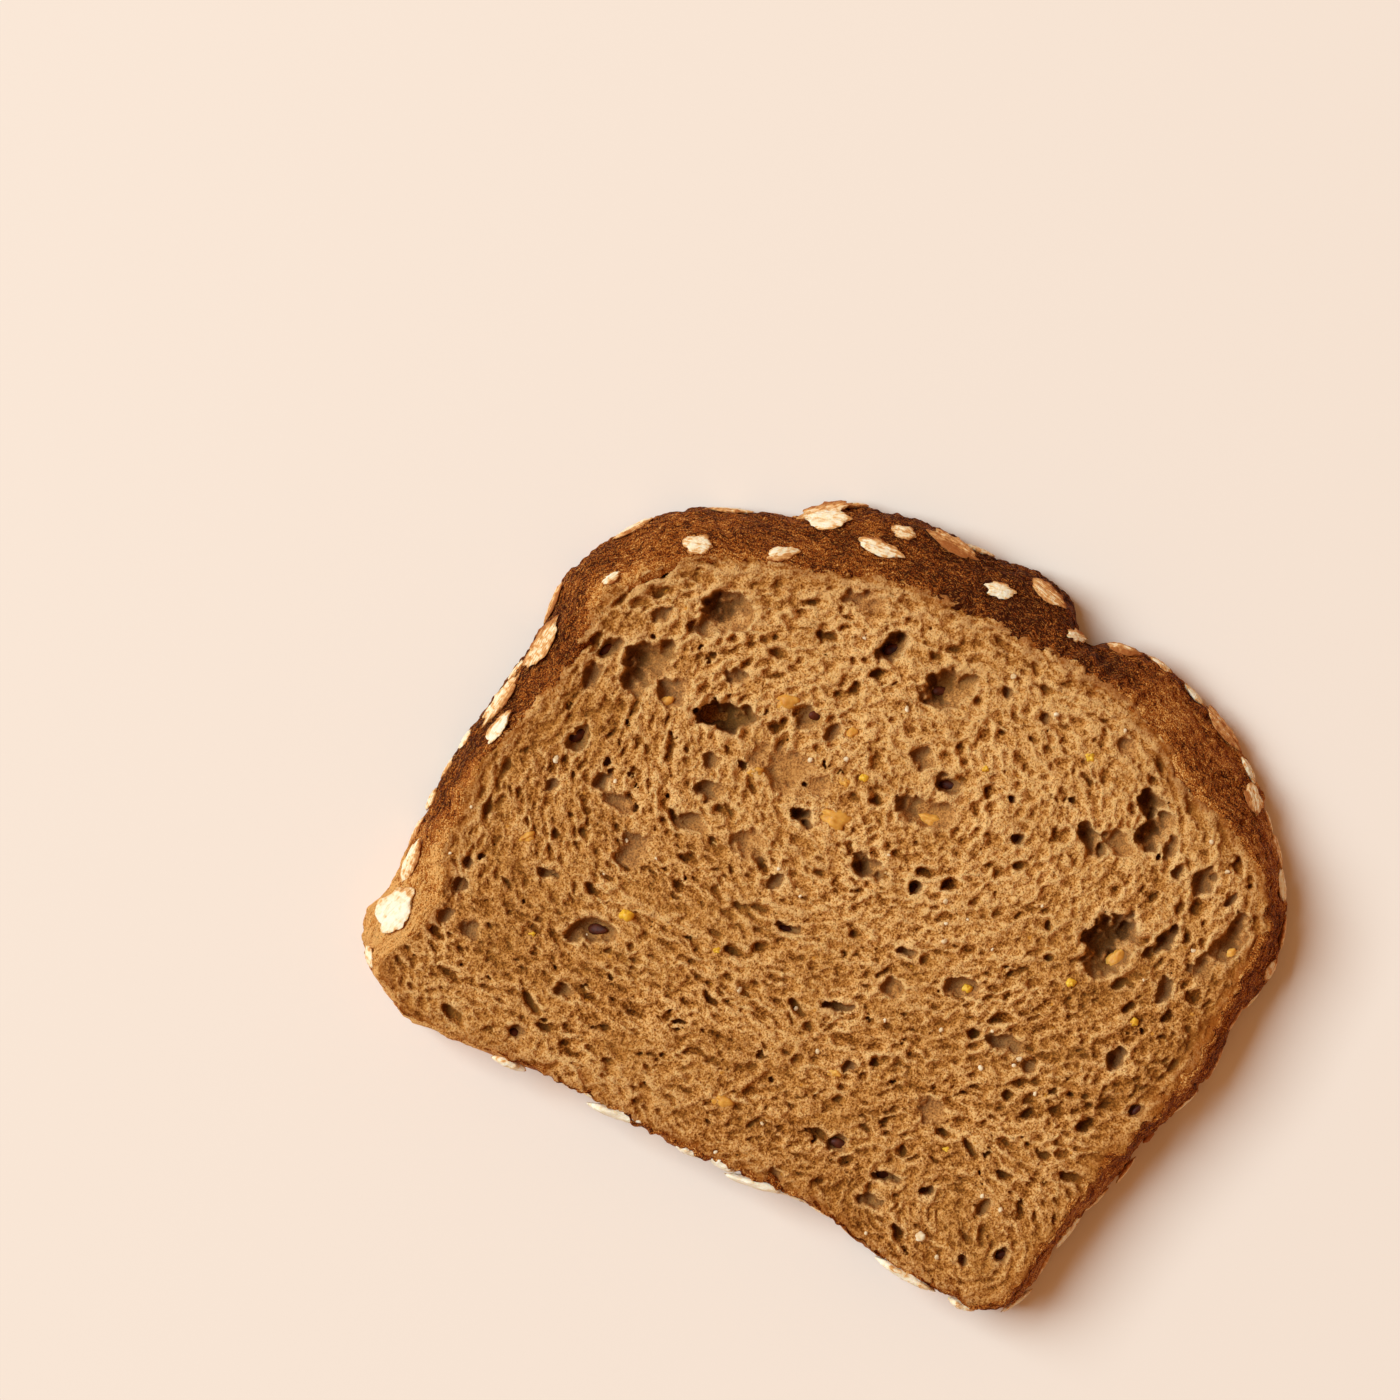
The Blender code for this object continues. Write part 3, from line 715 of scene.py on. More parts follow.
def foamMaps(look, hollows, level):
    # Height of the cut face above or below its plane, and what the material reads
    draw = np.random.default_rng(look["seed"])
    field = flatField(look["spacing"])
    x, y, seed = field["x"], field["y"], look["seed"]
    edge = field["edge"] = flankRadius(field["angle"], level) - field["radius"]
    rings, swirl = swirlMap(field, look)

    def noise(size, number, layers=3):
        return layeredNoise(x, y, size, seed + number, layers)

    def drawnNoise(length, width, number):
        return streakNoise(field, rings, length, width, seed + number)

    field["rings"] = rings
    for axis, start in (("X", 20), ("Y", 60)):
        bends = [far * noise(size, start + 3 * index, 2) for index, (far, size) in enumerate(look["warp"])]
        field["warped" + axis] = sum(bends, field[axis.lower()])
    field["ragged"] = noise(1.3, 90)
    field["bands"] = drawnNoise(22.0, 2.6, 80)
    floor = np.zeros_like(x)
    for hollow in hollows:
        carve(floor, field, clusterOf(hollow, draw), look["wideBowl"], look["raggedRim"])
    smoothCell = np.clip(-floor / 0.8, 0, 1) * (1 - 0.8 * easeStep(-floor, 2.6, 4.2))
    # Painted shadow: darker where the crumb just towards -X, the lamp's side, stands higher, as a rim's
    # shadow in its hollow
    rimShadow = np.clip((np.roll(floor, (-1, int(0.9 / look["spacing"])), (0, 1)) - floor) / 1.6, 0, 1)
    dimples = 0.16 * np.abs(noise(1.5, 95, 2)) * smoothCell
    for kind in look["cells"]:
        cells = scatterCells(field, look, draw, swirl, kind)
        carve(floor, field, cells, look["cellBowl"], look["raggedRim"])
    carveDeep(floor, field, look["deepCells"], draw, smoothCell)
    waves = enumerate(look["waves"])
    loose = sum(far * (0.5 + 0.5 * noise(size, 50 + index, 2)) for index, (far, size) in waves)
    streaks = 0.6 * drawnNoise(9.0, 1.6, 56) + 0.6 * drawnNoise(4.0, 0.8, 66)
    torn = np.abs(noise(1.6, 60)) * look["slump"] + 0.05 * noise(0.6, 64)
    torn += look["streaks"] * (0.5 + streaks)
    height = floor - dimples - np.clip(loose + torn * (1 - 0.7 * smoothCell), 0, 2)
    fibres = drawnNoise(3.0, 0.7, 76) * np.exp(-np.clip(edge, 0, 60) / 3.0)
    height *= 0.72 + 0.28 * easeStep(edge, 0.2, 2.6)
    height -= 0.32 * np.clip(fibres, 0, 1)
    atBase = np.exp(-np.clip(edge, 0, 30)) * baseShare(field["angle"])
    height -= 0.7 * atBase * (0.5 + 0.5 * noise(1.4, 74))
    height = 0.85 * height + 0.15 * blurred(height, 1)
    relief = blurred(height, max(2, int(0.75 / look["spacing"]))) - height
    wideRelief = np.clip(blurred(height, int(2.2 / look["spacing"])) - height, 0, 3)
    browning = np.exp(-np.clip(edge, 0, 30) / 1.6) * (1 + 0.9 * noise(1.8, 70))
    browning *= 0.45 + 0.55 * easeStep(x, -35, 25) * easeStep(y, -40, 10)
    browning += 1.4 * atBase * np.clip(noise(2.6, 72), 0, 1)
    # Painted shade: darker in hollows, pores and deep cells; also darker streaks, fibres and tone by region
    depths = relief, wideRelief, height, streaks, fibres
    shadeAndTone = look["pitLevel"] + sum(map(np.multiply, look["shadeShares"], depths))
    # Painted shadow inside rims on the lamp's side, and painted shade in the deepest hollows
    shadeAndTone += 0.45 * rimShadow * (0.7 + 0.5 * field["ragged"]) + 0.3 * easeStep(-height, 3.0, 5.0)
    shadeAndTone += 0.09 * easeStep(x, 22, 46) * easeStep(y, -20, 5) + 0.04 * easeStep(-x, 20, 44)
    shadeAndTone += 0.10 * easeStep(rings, 12, 48) * (1 - easeStep(y, 5, 28)) - 0.06 * easeStep(y, 5, 28)
    return field, height, {
        "shadeAndTone": np.clip(shadeAndTone, 0, 1),
        # Painted highlight where the crumb stands above its surroundings
        "ridgeHighlight": np.clip(-relief / 0.6, 0, 1) * (0.6 + 0.4 * field["ragged"]),
        "smoothCell": smoothCell,
        "browning": np.clip(browning + 0.12 * np.exp(-np.clip(edge, 0, 60) / 9), 0, 1),
    }


def crumbPiece(name, field, level, keep, look, maps):
    # A grid moved to the crumb's surface, trimmed to the slice and closed behind
    rows, columns = level.shape
    block = addGrid(name, rows, columns)
    setPlaces(block, np.stack([field["x"], field["y"], level], axis=-1).reshape(-1, 3))
    selectVertices(block, ~keep.ravel())
    bpy.ops.object.mode_set(mode="EDIT")
    bpy.ops.mesh.select_mode(type="VERT")
    bpy.ops.mesh.delete(type="VERT")
    bpy.ops.mesh.select_all(action="SELECT")
    bpy.ops.mesh.region_to_loop()
    bpy.ops.mesh.extrude_edges_move()
    bpy.ops.object.mode_set(mode="OBJECT")
    chosen = np.empty(len(block.data.vertices), bool)
    block.data.vertices.foreach_get("select", chosen)
    places = getPlaces(block)
    places[chosen] *= (0.96, 0.96, 0)
    places[chosen, 2] = look["backLevel"]
    setPlaces(block, places)
    bpy.ops.object.mode_set(mode="EDIT")
    bpy.ops.mesh.edge_face_add()
    bpy.ops.mesh.select_all(action="SELECT")
    bpy.ops.mesh.quads_convert_to_tris()
    bpy.ops.mesh.normals_make_consistent()
    bpy.ops.object.mode_set(mode="OBJECT")
    share = look["trianglesWanted"] / len(block.data.polygons)
    if share < 1:
        makeActive(block)
        modifier = block.modifiers.new("Fewer triangles", "DECIMATE")
        modifier.ratio = share
        modifier.use_collapse_triangulate = True
        bpy.ops.object.modifier_apply(modifier=modifier.name)
    places = getPlaces(block)
    for key, values in maps.items():
        addValues(block, key, readField(field, values, places[:, 0], places[:, 1]))
    return block


def makeCrumbTop():
    field, height, maps = foamMaps(crumbShape, wideHollows, 0.0)
    crustWidth = field["outer"] - field["inner"]
    share = -field["edge"] / crustWidth
    patches = layeredNoise(field["x"], field["y"], 1.8, crumbShape["seed"] + 33, layers=2)
    under = -thickness * flankLevel(share) - 0.3 + 0.6 * patches - 0.5 * share * crustWidth
    level = thickness + np.where(share > 0, np.minimum(under, height), height)
    keep = field["radius"] < field["inner"] + np.minimum(1.0, 0.5 * crustWidth)
    return crumbPiece("crumbCutFace", field, level, keep, crumbShape, maps), field, level


def makeCrumbUnder():
    draw = np.random.default_rng(underShape["seed"] + 1)
    hollows = [
        (draw.uniform(-48, 48), draw.uniform(-40, 38), draw.uniform(4, 9), draw.uniform(3, 5),
         draw.uniform(0, 180), draw.uniform(1.4, 3.4))
        for _ in range(underShape["hollows"])
    ]
    field, height, maps = foamMaps(underShape, hollows, 1.0)
    level, keep = np.maximum(0.02, -height - 0.02), field["edge"] > 0.4
    return crumbPiece("crumbUnderside", field, level, keep, underShape, maps)


crumbTop, topField, topLevel = makeCrumbTop()
finishPiece(crumbTop, crumbMaterial)
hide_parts("bread_slice")
crumbUnder = makeCrumbUnder()
finishPiece(crumbUnder, crumbMaterial)


# The crust: a closed band round the crumb

crustShape = {
    "columns": 1500,
    "rows": 52,
    "seed": 23,
    "lumps": ((0.34, 11.0), (0.3, 4.6), (0.22, 2.0), (0.12, 1.0)),
    "wrinkleHeight": 0.16,
    "wrinkleLength": 6.0,
    "wrinklePitch": 0.8,
    "crackleDepth": 0.22,
    "crackleShare": 0.35,
    "threadHeight": 0.07,
    "fineHeight": 0.09,
    "notchAngles": (67.0, 74.0),  # the dent beside the top, at the cut and lower down, in degrees from +X
    "notchDepth": 1.4,
    "notchWidth": 0.04,
}

# How dark the crust is baked, by the angle in degrees from +X: 0 is golden, 1 is nearly black
bakedTone = [
    (0, 0.53), (22, 0.55), (40, 0.50), (56, 0.54), (70, 0.78), (80, 0.92), (100, 0.96), (118, 0.72),
    (130, 0.76), (142, 0.74), (152, 0.54), (162, 0.50), (172, 0.74), (186, 0.82), (200, 0.66), (209, 0.04),
    (216, -0.08), (226, 0.06), (236, 0.24), (248, 0.54), (275, 0.58), (300, 0.56), (318, 0.50), (332, 0.51),
    (346, 0.52),
]


def evenAngles(count):
    # Angles that are evenly spaced along the outline, and how far along each one is
    angles = np.linspace(0, 2 * math.pi, 6001)
    radius = 0.5 * (widestAt(angles) + innerAt(angles))
    steps = np.hypot(np.diff(radius * np.cos(angles)), np.diff(radius * np.sin(angles)))
    along = np.concatenate([[0], np.cumsum(steps)])
    wanted = np.linspace(0, along[-1], count, endpoint=False)
    return np.interp(wanted, along, angles), wanted, along[-1]


def aroundNoise(along, down, total, length, pitch, seed):
    around = max(3, int(round(total / length)))
    return latticeNoise(along / total * around, down / pitch + 7.7, seed, around=around)


def makeCrust():
    look = crustShape
    angles, along, total = evenAngles(look["columns"])
    levels = np.linspace(0, 1, look["rows"]) ** 1.15
    angle, level = np.meshgrid(angles, levels)
    radius = flankRadius(angle, level)
    height = thickness * (1 - level)
    steps = np.hypot(np.diff(radius, axis=0), np.diff(height, axis=0))
    down = np.concatenate([np.zeros((1, look["columns"])), np.cumsum(steps, axis=0)])
    alongAll = np.broadcast_to(along, down.shape)

    def noise(length, pitch, number):
        return aroundNoise(alongAll, down, total, length, pitch, look["seed"] + number)

    relief = sum(far * noise(size, size * 0.8, index) for index, (far, size) in enumerate(look["lumps"]))
    relief += look["wrinkleHeight"] * (1 - 2 * np.abs(noise(look["wrinkleLength"], look["wrinklePitch"], 10)))
    relief += look["threadHeight"] * noise(3.0, 0.45, 11) + look["fineHeight"] * noise(0.6, 0.6, 12)
    cracks = np.maximum(0, look["crackleShare"] - np.abs(noise(1.7, 0.8, 13)) - 0.25 * noise(4.0, 3.0, 14))
    cracks /= look["crackleShare"]
    relief -= look["crackleDepth"] * cracks
    nearCut, lower = (math.radians(turn) for turn in look["notchAngles"])
    notch = nearCut + (lower - nearCut) * easeStep(level, 0, 0.6)
    notch = np.exp(-((angle - notch) / look["notchWidth"]) ** 2)
    relief -= look["notchDepth"] * notch * easeStep(level, 0.02, 0.4)
    fade = easeStep(down, -0.4, 1.1) * easeStep(down[-1] - down, 0, 1.2)
    outR, outZ = np.gradient(-height, axis=0), np.gradient(radius, axis=0)
    size = np.hypot(outR, outZ) + 1e-9
    radius = radius + relief * fade * outR / size
    height = np.clip(height + relief * fade * outZ / size, 0.02, thickness + 0.1)
    inner, bottom = radius[0], radius[-1]
    torn = aroundNoise(along, along * 0, total, 1.3, 1.0, look["seed"] + 30)
    top = thickness - 0.4 + 0.25 * torn
    height[0] = top
    height[1:6] = np.minimum(height[1:6], top)
    profile = [(inner - 1.3, height[0] - 3.0), (inner - 1.3, height[0] - 1.0), (inner - 0.5, height[0] - 0.5)]
    profile += list(zip(radius, height))
    profile += [(bottom - 0.6, height[-1] + 0.5), (bottom - 1.6, height[-1] + 1.4)]
    profile.append(profile[0])
    rows = len(profile)
    band = addGrid("crustBand", rows, look["columns"] + 1)
    order = np.append(np.arange(look["columns"]), 0)
    c, s = np.cos(angles), np.sin(angles)
    places = np.array([(r * c, r * s, z) for r, z in profile])[:, :, order]
    setPlaces(band, places.transpose(0, 2, 1).reshape(-1, 3))

    tone = np.interp(np.degrees(angle), *zip(*bakedTone), period=360)
    tone = tone - 0.10 * (1 - easeStep(down, 0.3, 2.6)) * (1 - baseShare(angle)) + 0.05 * easeStep(down, 4, 9)
    lowerLeft = easeStep(-np.cos(angle), 0.6, 0.9) * easeStep(-np.sin(angle), -0.12, 0.2)
    tone = np.maximum(tone - 0.24 * lowerLeft * (1 - easeStep(down, 1.0, 4.0)), 0.05)
    tone += 0.16 * noise(11.0, 4.0, 40) + 0.18 * noise(4.2, 1.8, 41)
    tone += 0.35 * baseShare(angle) * noise(2.4, 1.6, 44)
    tone += 0.16 * easeStep(down, 2.0, 7.0) * easeStep(-np.cos(angle), 0.85, 0.95)
    # Painted shade: darker in the cracks and in the notch
    tone += 0.2 * cracks + 0.2 * notch
    strands = 0.6 * noise(5.0, 0.5, 42) + 0.6 * noise(1.6, 0.35, 43)
    for key, values in (("toast", tone), ("fibre", strands), ("alongCrust", alongAll), ("downCrust", down)):
        whole = np.concatenate([values[:1]] * 3 + [values] + [values[-1:]] * 2 + [values[:1]])
        addValues(band, key, whole[:, order].ravel())
    editWhole(lambda: bpy.ops.mesh.remove_doubles(threshold=0.002 * mm), bpy.ops.mesh.normals_make_consistent)
    return band


crustBand = makeCrust()
finishPiece(crustBand, crustMaterial)


# Toppings: shaped once, then copied with their own place, turn and size

def roundShape(segments, rings, shaper):
    # A sphere primitive whose points are moved by the shaper, as points and triangles
    deselectAll()
    bpy.ops.mesh.primitive_uv_sphere_add(segments=segments, ring_count=rings, radius=1)
    ball = bpy.context.active_object
    editWhole(bpy.ops.mesh.quads_convert_to_tris)
    points = getPlaces(ball) * mm
    faces = np.empty(len(ball.data.polygons) * 3, np.int32)
    ball.data.polygons.foreach_get("vertices", faces)
    bpy.data.objects.remove(ball, do_unlink=True)
    return shaper(points), faces.reshape(-1, 3)


def joinCopies(name, shapes, copies):
    # Each copy: shape number, middle, three directions, three half sizes, and what gives its values
    points, faces, values, start = [], [], {}, 0
    for number, (kind, middle, ways, sizes, own) in enumerate(copies):
        shape, corners = shapes[kind]
        local = shape * np.array(sizes)
        points.append(np.array(middle) + local @ np.array(ways))
        faces.append(corners + start)
        start += len(shape)
        for key, value in (own(shape, local, number) if own else {}).items():
            values.setdefault(key, []).append(value)
    mesh = bpy.data.meshes.new(name)
    mesh.from_pydata((np.concatenate(points) * mm).tolist(), [], np.concatenate(faces).tolist())
    made = bpy.data.objects.new(name, mesh)
    bpy.context.scene.collection.objects.link(made)
    for key, parts in values.items():
        addValues(made, key, np.concatenate(parts))
    return made


def flankFrame(angle, level):
    # A point of the smooth flank, with directions along it, down it and out of it
    def spot(a, v):
        radius = flankRadius(a, v)
        return np.array([radius * math.cos(a), radius * math.sin(a), thickness * (1 - v)])

    middle = spot(angle, level)
    sideways = spot(angle + 0.03, level) - spot(angle - 0.03, level)
    down = spot(angle, min(level + 0.04, 0.99)) - spot(angle, max(level - 0.04, 0.0))
    out = np.cross(down, sideways)
    out /= np.linalg.norm(out)
    return middle, out if out @ (middle * (1, 1, 0) + (0, 0, 20)) > 0 else -out


def turnedWays(out, heading):
    longWay = heading - out * (heading @ out)
    longWay /= np.linalg.norm(longWay)
    return [longWay, np.cross(out, longWay), out]


oatShape = {
    "seed": 5,
    "shapes": 7,
    "halfThickness": 0.44,
    "proud": 0.34,  # how far a flake's middle stands out of the crust
    "lowFlakes": 30,
    "lowProud": 0.08,
    "lowLevels": (0.62, 0.8),
    "lowLength": (4.0, 7.5),
    "lowGap": 2.0,
    "baseLine": -51.6,  # the base crust's place below the middle
    "edgeFlake": (3.4, 1.7),  # width, and how many times as thick as the rest
}

# Flakes on the crust: middle, length, width, turn in degrees, how toasted
seenFlakes = [
    (-46.7, 32.8, 4.6, 3.4, 15, 0.10), (-56, 21.6, 3, 1.6, 70, 0), (-34.6, 37.9, 4.8, 2.6, 42, 0.08),
    (-32.2, 47.6, 8, 4.8, 22, 0.26), (-30.8, 46.2, 6.8, 3.9, 18, 0), (-21.5, 46.2, 7.2, 2.8, 8, 0.05),
    (-19.4, 50.2, 4, 2.4, 5, 0.22), (-11.8, 52.2, 8.2, 3.4, -6, 0.42), (-2, 49.5, 4.6, 2.9, 20, -0.05),
    (5, 52.8, 6.4, 3.2, -12, 0.34), (12, 48.9, 3.6, 2.6, 40, 0.10), (19.8, 50.8, 5.2, 3, 15, 0.34),
    (39.4, 47.6, 8.3, 3.6, -24, 0.40), (48.8, 40.1, 5, 3.4, -60, 0.16), (56.2, 35, 5.6, 3.2, -58, 0.24),
    (59.2, 30.5, 5, 2.8, -55, -0.05), (64, 18.2, 3.6, 2.8, 90, 0.20), (-60.6, 7.5, 8.9, 4, 90, 0.26),
    (-61.9, -3.4, 9, 3.2, 84, 0.2), (-60.2, -7.4, 5.6, 2.8, 92, -0.05), (-63.8, -11.6, 3.4, 1.5, 90, 0),
    (-64.4, -22.6, 3.6, 1.6, 90, 0.1), (-62, -32.2, 7.2, 3, 88, 0.12), (-60.6, -40.2, 7.2, 6.4, 70, -0.12),
    (-60.4, -48.6, 3.6, 2.4, -35, 0.05), (57, -33.7, 6.4, 3.2, 94, 0), (60.4, -14.2, 2.4, 1.8, 80, 0.9),
]

# Flakes seen edge-on along the base crust: place along it, length, level, how toasted
edgeFlakes = [
    (-15, 9.6, 0.15, -0.4), (-2.4, 4.4, 0.18, -0.3), (9.4, 9.8, 0.15, -0.4), (36.4, 9.8, 0.15, -0.4),
    (-33, 5, 0.2, -0.1), (46.5, 4, 0.25, -0.1), (3, 4.6, 0.16, -0.4),
]


def oatFlakeShape(seed):
    draw = np.random.default_rng(seed)
    waves = draw.uniform(-1, 1, 6)
    crease, curl = draw.uniform(0.15, 0.45), draw.uniform(-0.3, 0.6)

    def shape(points):
        x, y, z = points.T
        turn = np.arctan2(y, x)
        edge = (np.abs(np.cos(turn)) ** 2.3 + np.abs(np.sin(turn)) ** 2.3) ** (-1 / 2.3)
        edge += 0.055 * sum(w * np.sin((k + 2) * turn + 3 * w) for k, w in enumerate(waves))
        edge += 0.2 * latticeNoise(x * 4.3 + 20, y * 4.3 + 20, seed + 50) * (np.hypot(x, y) > 0.5)
        body = np.sign(z) * np.abs(z) ** 1.2
        groove = crease * np.exp(-((y - 0.05 * waves[1]) / 0.12) ** 2) * (z > 0)
        lift = curl * (x**2 * 0.6 + y**2 * 0.5 * waves[2])
        rough = 0.16 * latticeNoise(x * 6 + 9, y * 9 + 9, seed + 100)
        y = y * edge * (1 - 0.12 * waves[3] * x)
        return np.stack([x * edge, y, body - groove + lift + rough], axis=-1)

    return shape


def flakeValues(toast, draw):
    lean = draw.uniform(-1, 1)

    def values(shape, local, number):
        x, y = shape[:, 0], shape[:, 1]
        rim = np.clip((np.hypot(x, y) - 0.66) / 0.4, 0, 1)
        side, groove = easeStep(lean * y + 0.2 * x, 0.05, 0.5), np.exp(-(y / 0.1) ** 2)
        # Toasted at the rim and on one side; darker along the crease as painted shade
        toasted = toast + 0.26 * rim**2 + 0.42 * side + 0.12 * groove
        numbers = np.full(len(shape), number * 3.7)
        return {"toast": toasted, "lengthways": local[:, 0], "sideways": local[:, 1], "number": numbers}

    return values


def makeOats():
    look = oatShape
    draw = np.random.default_rng(look["seed"])
    shapes = [roundShape(36, 16, oatFlakeShape(40 + k)) for k in range(look["shapes"])]
    copies, taken = [], []

    def addFlake(angle, level, length, width, heading, toast, proud, thicker=1.0, raised=0.0):
        middle, out = flankFrame(angle, level)
        out = (out + (0, 0, raised)) / np.linalg.norm(out + (0, 0, raised))
        half = look["halfThickness"] * draw.uniform(0.85, 1.2) * thicker
        kind, sizes = int(draw.integers(len(shapes))), (length / 2, width / 2, half)
        copies.append((kind, middle + out * proud, turnedWays(out, heading), sizes, flakeValues(toast, draw)))
        taken.append(angle)

    for x, y, length, width, turn, toast in seenFlakes:
        x, y = slicePlace(x, y)
        angle = math.atan2(y, x)
        inner = innerAt(angle)
        share = min(max((math.hypot(x, y) - inner) / (widestAt(angle) - inner), 0.05), 0.97)
        level = min(flankLevel(share), 1 - (width / 2 + 0.6) / thickness)
        addFlake(angle, level, length, width, flatWay(turn), toast, look["proud"], raised=0.25)
    for x, length, level, toast in edgeFlakes:
        angle = math.atan2(look["baseLine"], x)
        width, thicker = look["edgeFlake"]
        addFlake(angle, level, length, width, flatWay(0), toast, look["proud"], thicker)
    while len(copies) < len(seenFlakes) + len(edgeFlakes) + look["lowFlakes"]:
        angle, level = draw.uniform(0, 2 * math.pi), draw.uniform(*look["lowLevels"])
        length = draw.uniform(*look["lowLength"])
        near = min(abs((angle - other + math.pi) % (2 * math.pi) - math.pi) for other in taken)
        if near * widestAt(angle) < length / 2 + look["lowGap"]:
            continue
        heading = np.array([-math.sin(angle), math.cos(angle), draw.uniform(-0.25, 0.25)])
        width, toast = length * draw.uniform(0.45, 0.6), draw.uniform(-0.05, 0.3)
        addFlake(angle, level, length, width, heading, toast, look["lowProud"])
    return joinCopies("oatFlakes", shapes, copies)


oatFlakes = makeOats()
finishPiece(oatFlakes, oatMaterial)


# Seeds and grains in the crumb: middle, length, turn in degrees
flaxSeeds = [
    (-30.6, 11, 3.4, 20), (-48.8, -2.2, 3.2, 60), (-12, 33.5, 3.4, 40), (-31.4, -27.4, 3.4, 20),
    (-34.8, -47.6, 2.6, 60), (48.8, -41.3, 2.8, 50), (18, -38.4, 3, 10), (5.9, 19, 3, 15),
    (-51.4, 11.6, 2.8, 70), (-17.6, 18.6, 2.8, 30), (-5.2, -12.8, 3, 20), (56.3, -11.2, 2.6, 80),
    (-2.4, 31.4, 2.8, 30), (26.8, -39.2, 3.2, 10), (9, 2.3, 2.2, 60),
]
amberKernels = [
    (-7.6, 5.8, 5.4, 10), (-21.7, 6.2, 2.4, 40), (-11.4, 18.5, 3, 85), (-23, 18, 4.2, 30),
    (-8.7, 11.6, 2.2, 0), (41.9, 7.8, 3.8, 88), (57.3, 17.3, 2.4, 80), (5.9, 12.9, 3.4, 10),
    (-1.4, -41.3, 3.4, 10), (12, -29, 2.4, 20), (-39.4, 9, 2.4, 50), (-48, -20, 2.6, 60),
]
yellowGrits = [
    (22.9, 33.6, 1.7), (-28.6, -23.2, 2.1), (23.7, -7.4, 1.6), (37.4, 1.3, 1.6), (49, 0.6, 1.6),
    (-13.5, -21.1, 1.2), (9.5, 24, 1.2), (-6.5, 13.6, 1.4), (33, -31, 1.1), (-40, -33, 1.1),
]
scrapLook = {"seed": 17, "count": 46, "size": (0.25, 0.6)}


def seedShape(points):
    x, y, z = points.T
    return np.stack([x, y * (1 - 0.28 * x), z * (1 - 0.2 * x)], axis=-1)


def lumpShape(seed, rough):
    def shape(points):
        x, y, z = points.T
        swell = 1 + rough * latticeNoise(x * 2.2 + z + 5, y * 2.2 - z + 5, seed)
        return points * swell[:, None]
    return shape


def crumbLevel(x, y, reach):
    # Mean level of the crumb at the place and round it
    turns = np.arange(8) * math.pi / 4
    xs = x + np.append(reach * np.cos(turns), 0)
    ys = y + np.append(reach * np.sin(turns), 0)
    return float(readField(topField, topLevel, xs, ys).mean())


def scatterOnCrumb(name, shapes, grains, halfSizes, sunk, seed, reach=0.0):
    # Lays each grain in the crumb where it is, sunk by a share of its thickness
    draw = np.random.default_rng(seed)
    copies = []
    for x, y, length, turn in grains:
        x, y = slicePlace(x, y)
        out = np.append(draw.normal(0, 0.22, 2), 1.0)
        out /= np.linalg.norm(out)
        sizes = tuple(length / 2 * part for part in halfSizes)
        middle = (x, y, crumbLevel(x, y, reach * length) + sizes[2] * (1 - 2 * sunk))
        kind = int(draw.integers(len(shapes)))
        copies.append((kind, middle, turnedWays(out, flatWay(turn)), sizes, None))
    return joinCopies(name, shapes, copies)


def looseScraps():
    draw = np.random.default_rng(scrapLook["seed"])
    found = [(36.0, -45.0, 2.0, 20), (36.0, -14.4, 0.9, 0)]
    while len(found) < scrapLook["count"]:
        x, y = draw.uniform(-60, 60), draw.uniform(-50, 46)
        if math.hypot(x, y) < innerAt(math.atan2(y, x)) - 1.5:
            found.append((x, y, 2 * draw.uniform(*scrapLook["size"]), draw.uniform(0, 180)))
    return found


seedShapes = [roundShape(14, 10, seedShape)]
lumpShapes = [roundShape(18, 12, lumpShape(60 + k, 0.36)) for k in range(4)]
scrapShapes = [roundShape(8, 6, lumpShape(80 + k, 0.45)) for k in range(4)]
gritPlaces = [(*place, 30.0) for place in yellowGrits]
flax = scatterOnCrumb("flaxSeeds", seedShapes, flaxSeeds, (1.0, 0.52, 0.26), 0.35, seed=3)
kernels = scatterOnCrumb("amberKernels", lumpShapes, amberKernels, (1.0, 0.62, 0.5), 0.74, seed=4, reach=0.3)
grits = scatterOnCrumb("yellowGrits", lumpShapes, gritPlaces, (1.0, 0.85, 0.7), 0.58, seed=6)
scraps = scatterOnCrumb("looseCrumbs", scrapShapes, looseScraps(), (1.0, 0.8, 0.6), 0.3, seed=8)
for topping, material in ((flax, seedMaterial), (kernels, kernelMaterial), (grits, gritMaterial)):
    finishPiece(topping, material)
finishPiece(scraps, scrapMaterial)


# Floor, lights and camera

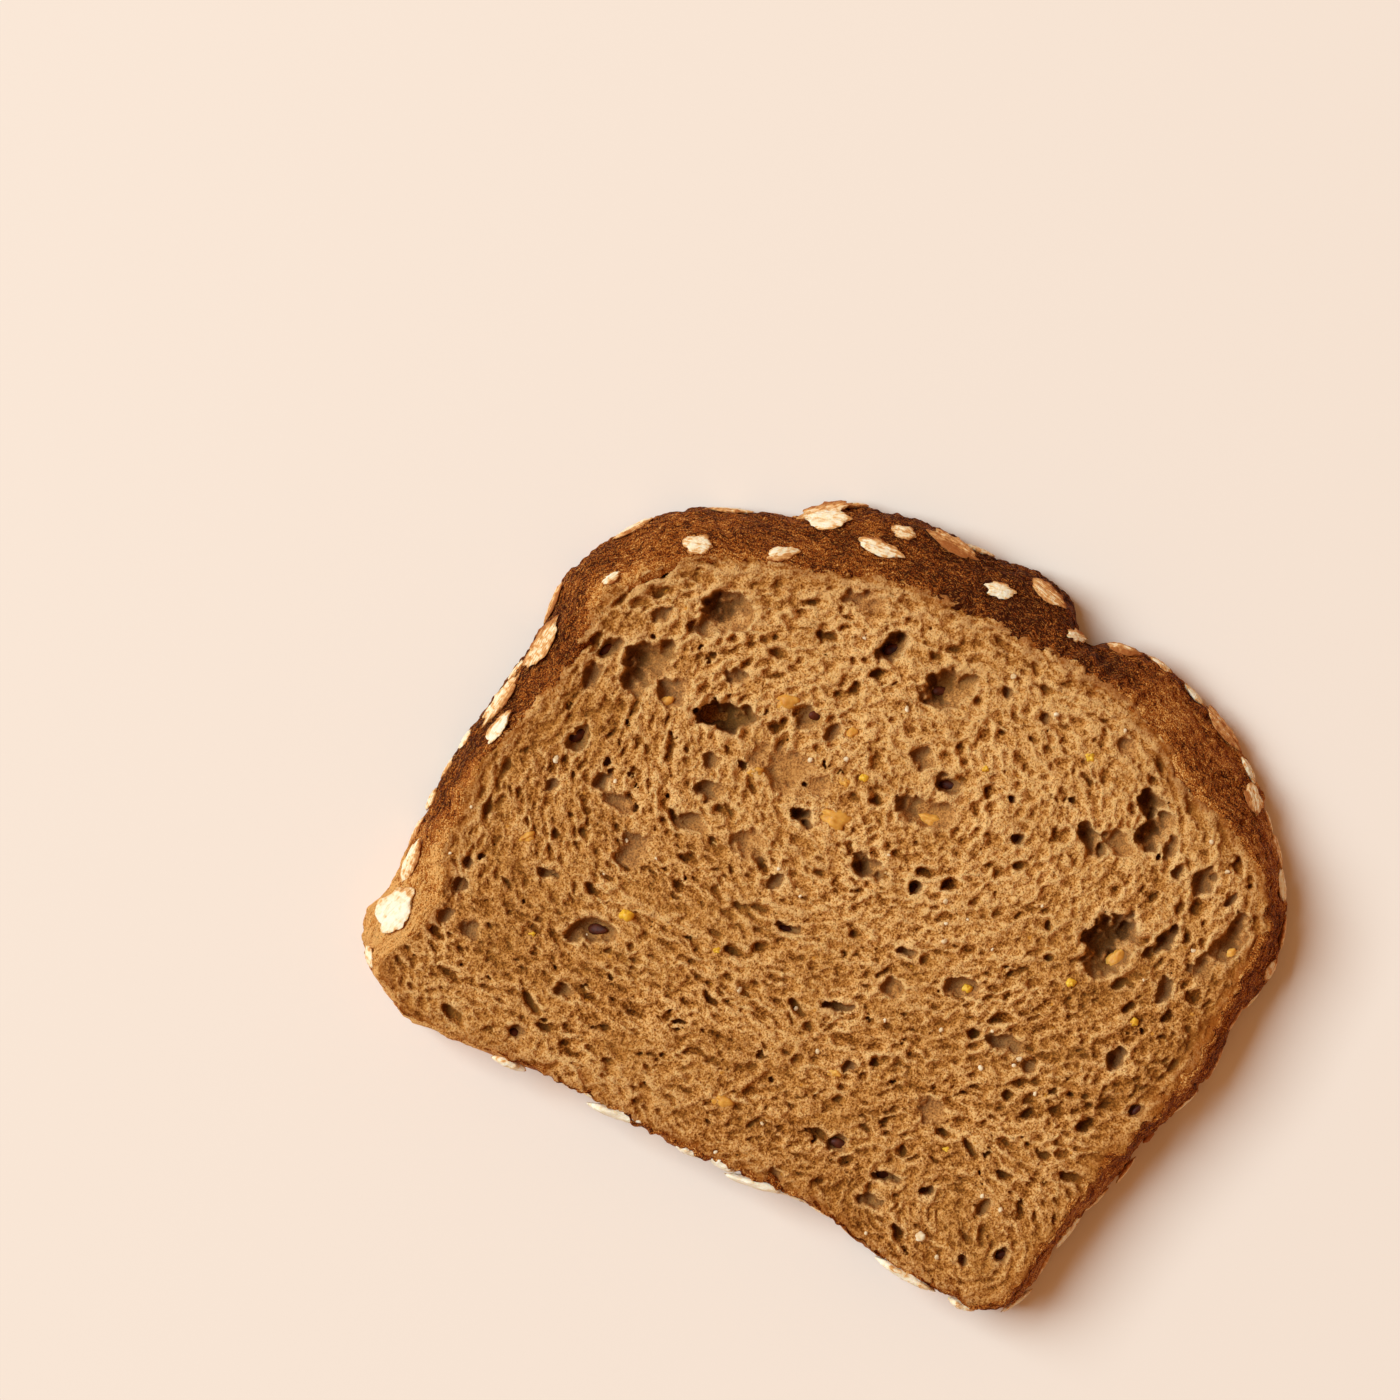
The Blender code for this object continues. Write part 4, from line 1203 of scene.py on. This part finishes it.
studio = {
    "floorColour": (247, 228, 213),
    "floorSize": 14.0,
    "keyDirection": (-0.988, -0.157),  # seen from above, towards the lamp
    "keyElevation": 47.0,
    "keyDistance": 6.0,
    "keySize": 3.7,
    "keyPower": 482.0,
    "keyColour": (0.68, 0.888, 1.0),
    "skyColour": (1.0, 0.53, 0.23),
    "skyStrength": 0.40,
    "photoTurn": 29.0,  # the base crust runs this far clockwise in the picture
    "photoMiddle": (-34.8, 11.8),
    "frameWidth": 218.75,  # of the cut face's plane that the picture takes in
    "lens": 150.0,
    "sensor": 36.0,
}


def makeFloor():
    deselectAll()
    bpy.ops.mesh.primitive_plane_add(size=studio["floorSize"], location=(0, 0, -0.05 * mm))
    floor = bpy.context.active_object
    floor.name = "floor"
    material = bpy.data.materials.new("Pale floor")
    material.use_nodes = True
    shader = material.node_tree.nodes["Principled BSDF"]
    shader.inputs["Base Color"].default_value = screenColour(studio["floorColour"])
    shader.inputs["Roughness"].default_value = 0.9
    shader.inputs["Specular IOR Level"].default_value = 0.1
    floor.data.materials.append(material)


def makeLights():
    scene = bpy.context.scene
    scene.world = bpy.data.worlds.new("Studio")
    scene.world.use_nodes = True
    sky = scene.world.node_tree.nodes["Background"]
    sky.inputs["Color"].default_value = (*studio["skyColour"], 1.0)
    sky.inputs["Strength"].default_value = studio["skyStrength"]
    lamp = bpy.data.lights.new("Key", "AREA")
    lamp.size = studio["keySize"]
    lamp.energy = studio["keyPower"]
    lamp.color = studio["keyColour"]
    key = bpy.data.objects.new("Key", lamp)
    rise = math.radians(studio["keyElevation"])
    flat = studio["keyDistance"] * math.cos(rise)
    x, y = (flat * part for part in studio["keyDirection"])
    key.location = (x, y, studio["keyDistance"] * math.sin(rise))
    key.rotation_euler = (0, rise - math.pi / 2, math.atan2(-y, -x))
    scene.collection.objects.link(key)
    scene.view_settings.view_transform = "Standard"
    scene.view_settings.look = "None"


def makeCamera():
    camera = bpy.data.objects.new("Camera", bpy.data.cameras.new("Camera"))
    camera.data.lens = studio["lens"]
    camera.data.sensor_width = studio["sensor"]
    x, y = slicePlace(*studio["photoMiddle"])
    away = studio["frameWidth"] / studio["sensor"] * studio["lens"] + thickness
    camera.location = (x * mm, y * mm, away * mm)
    camera.rotation_euler = (0, 0, math.radians(studio["photoTurn"]))
    bpy.context.scene.collection.objects.link(camera)
    bpy.context.scene.camera = camera


makeFloor()
makeLights()
makeCamera()
print("studio ready")
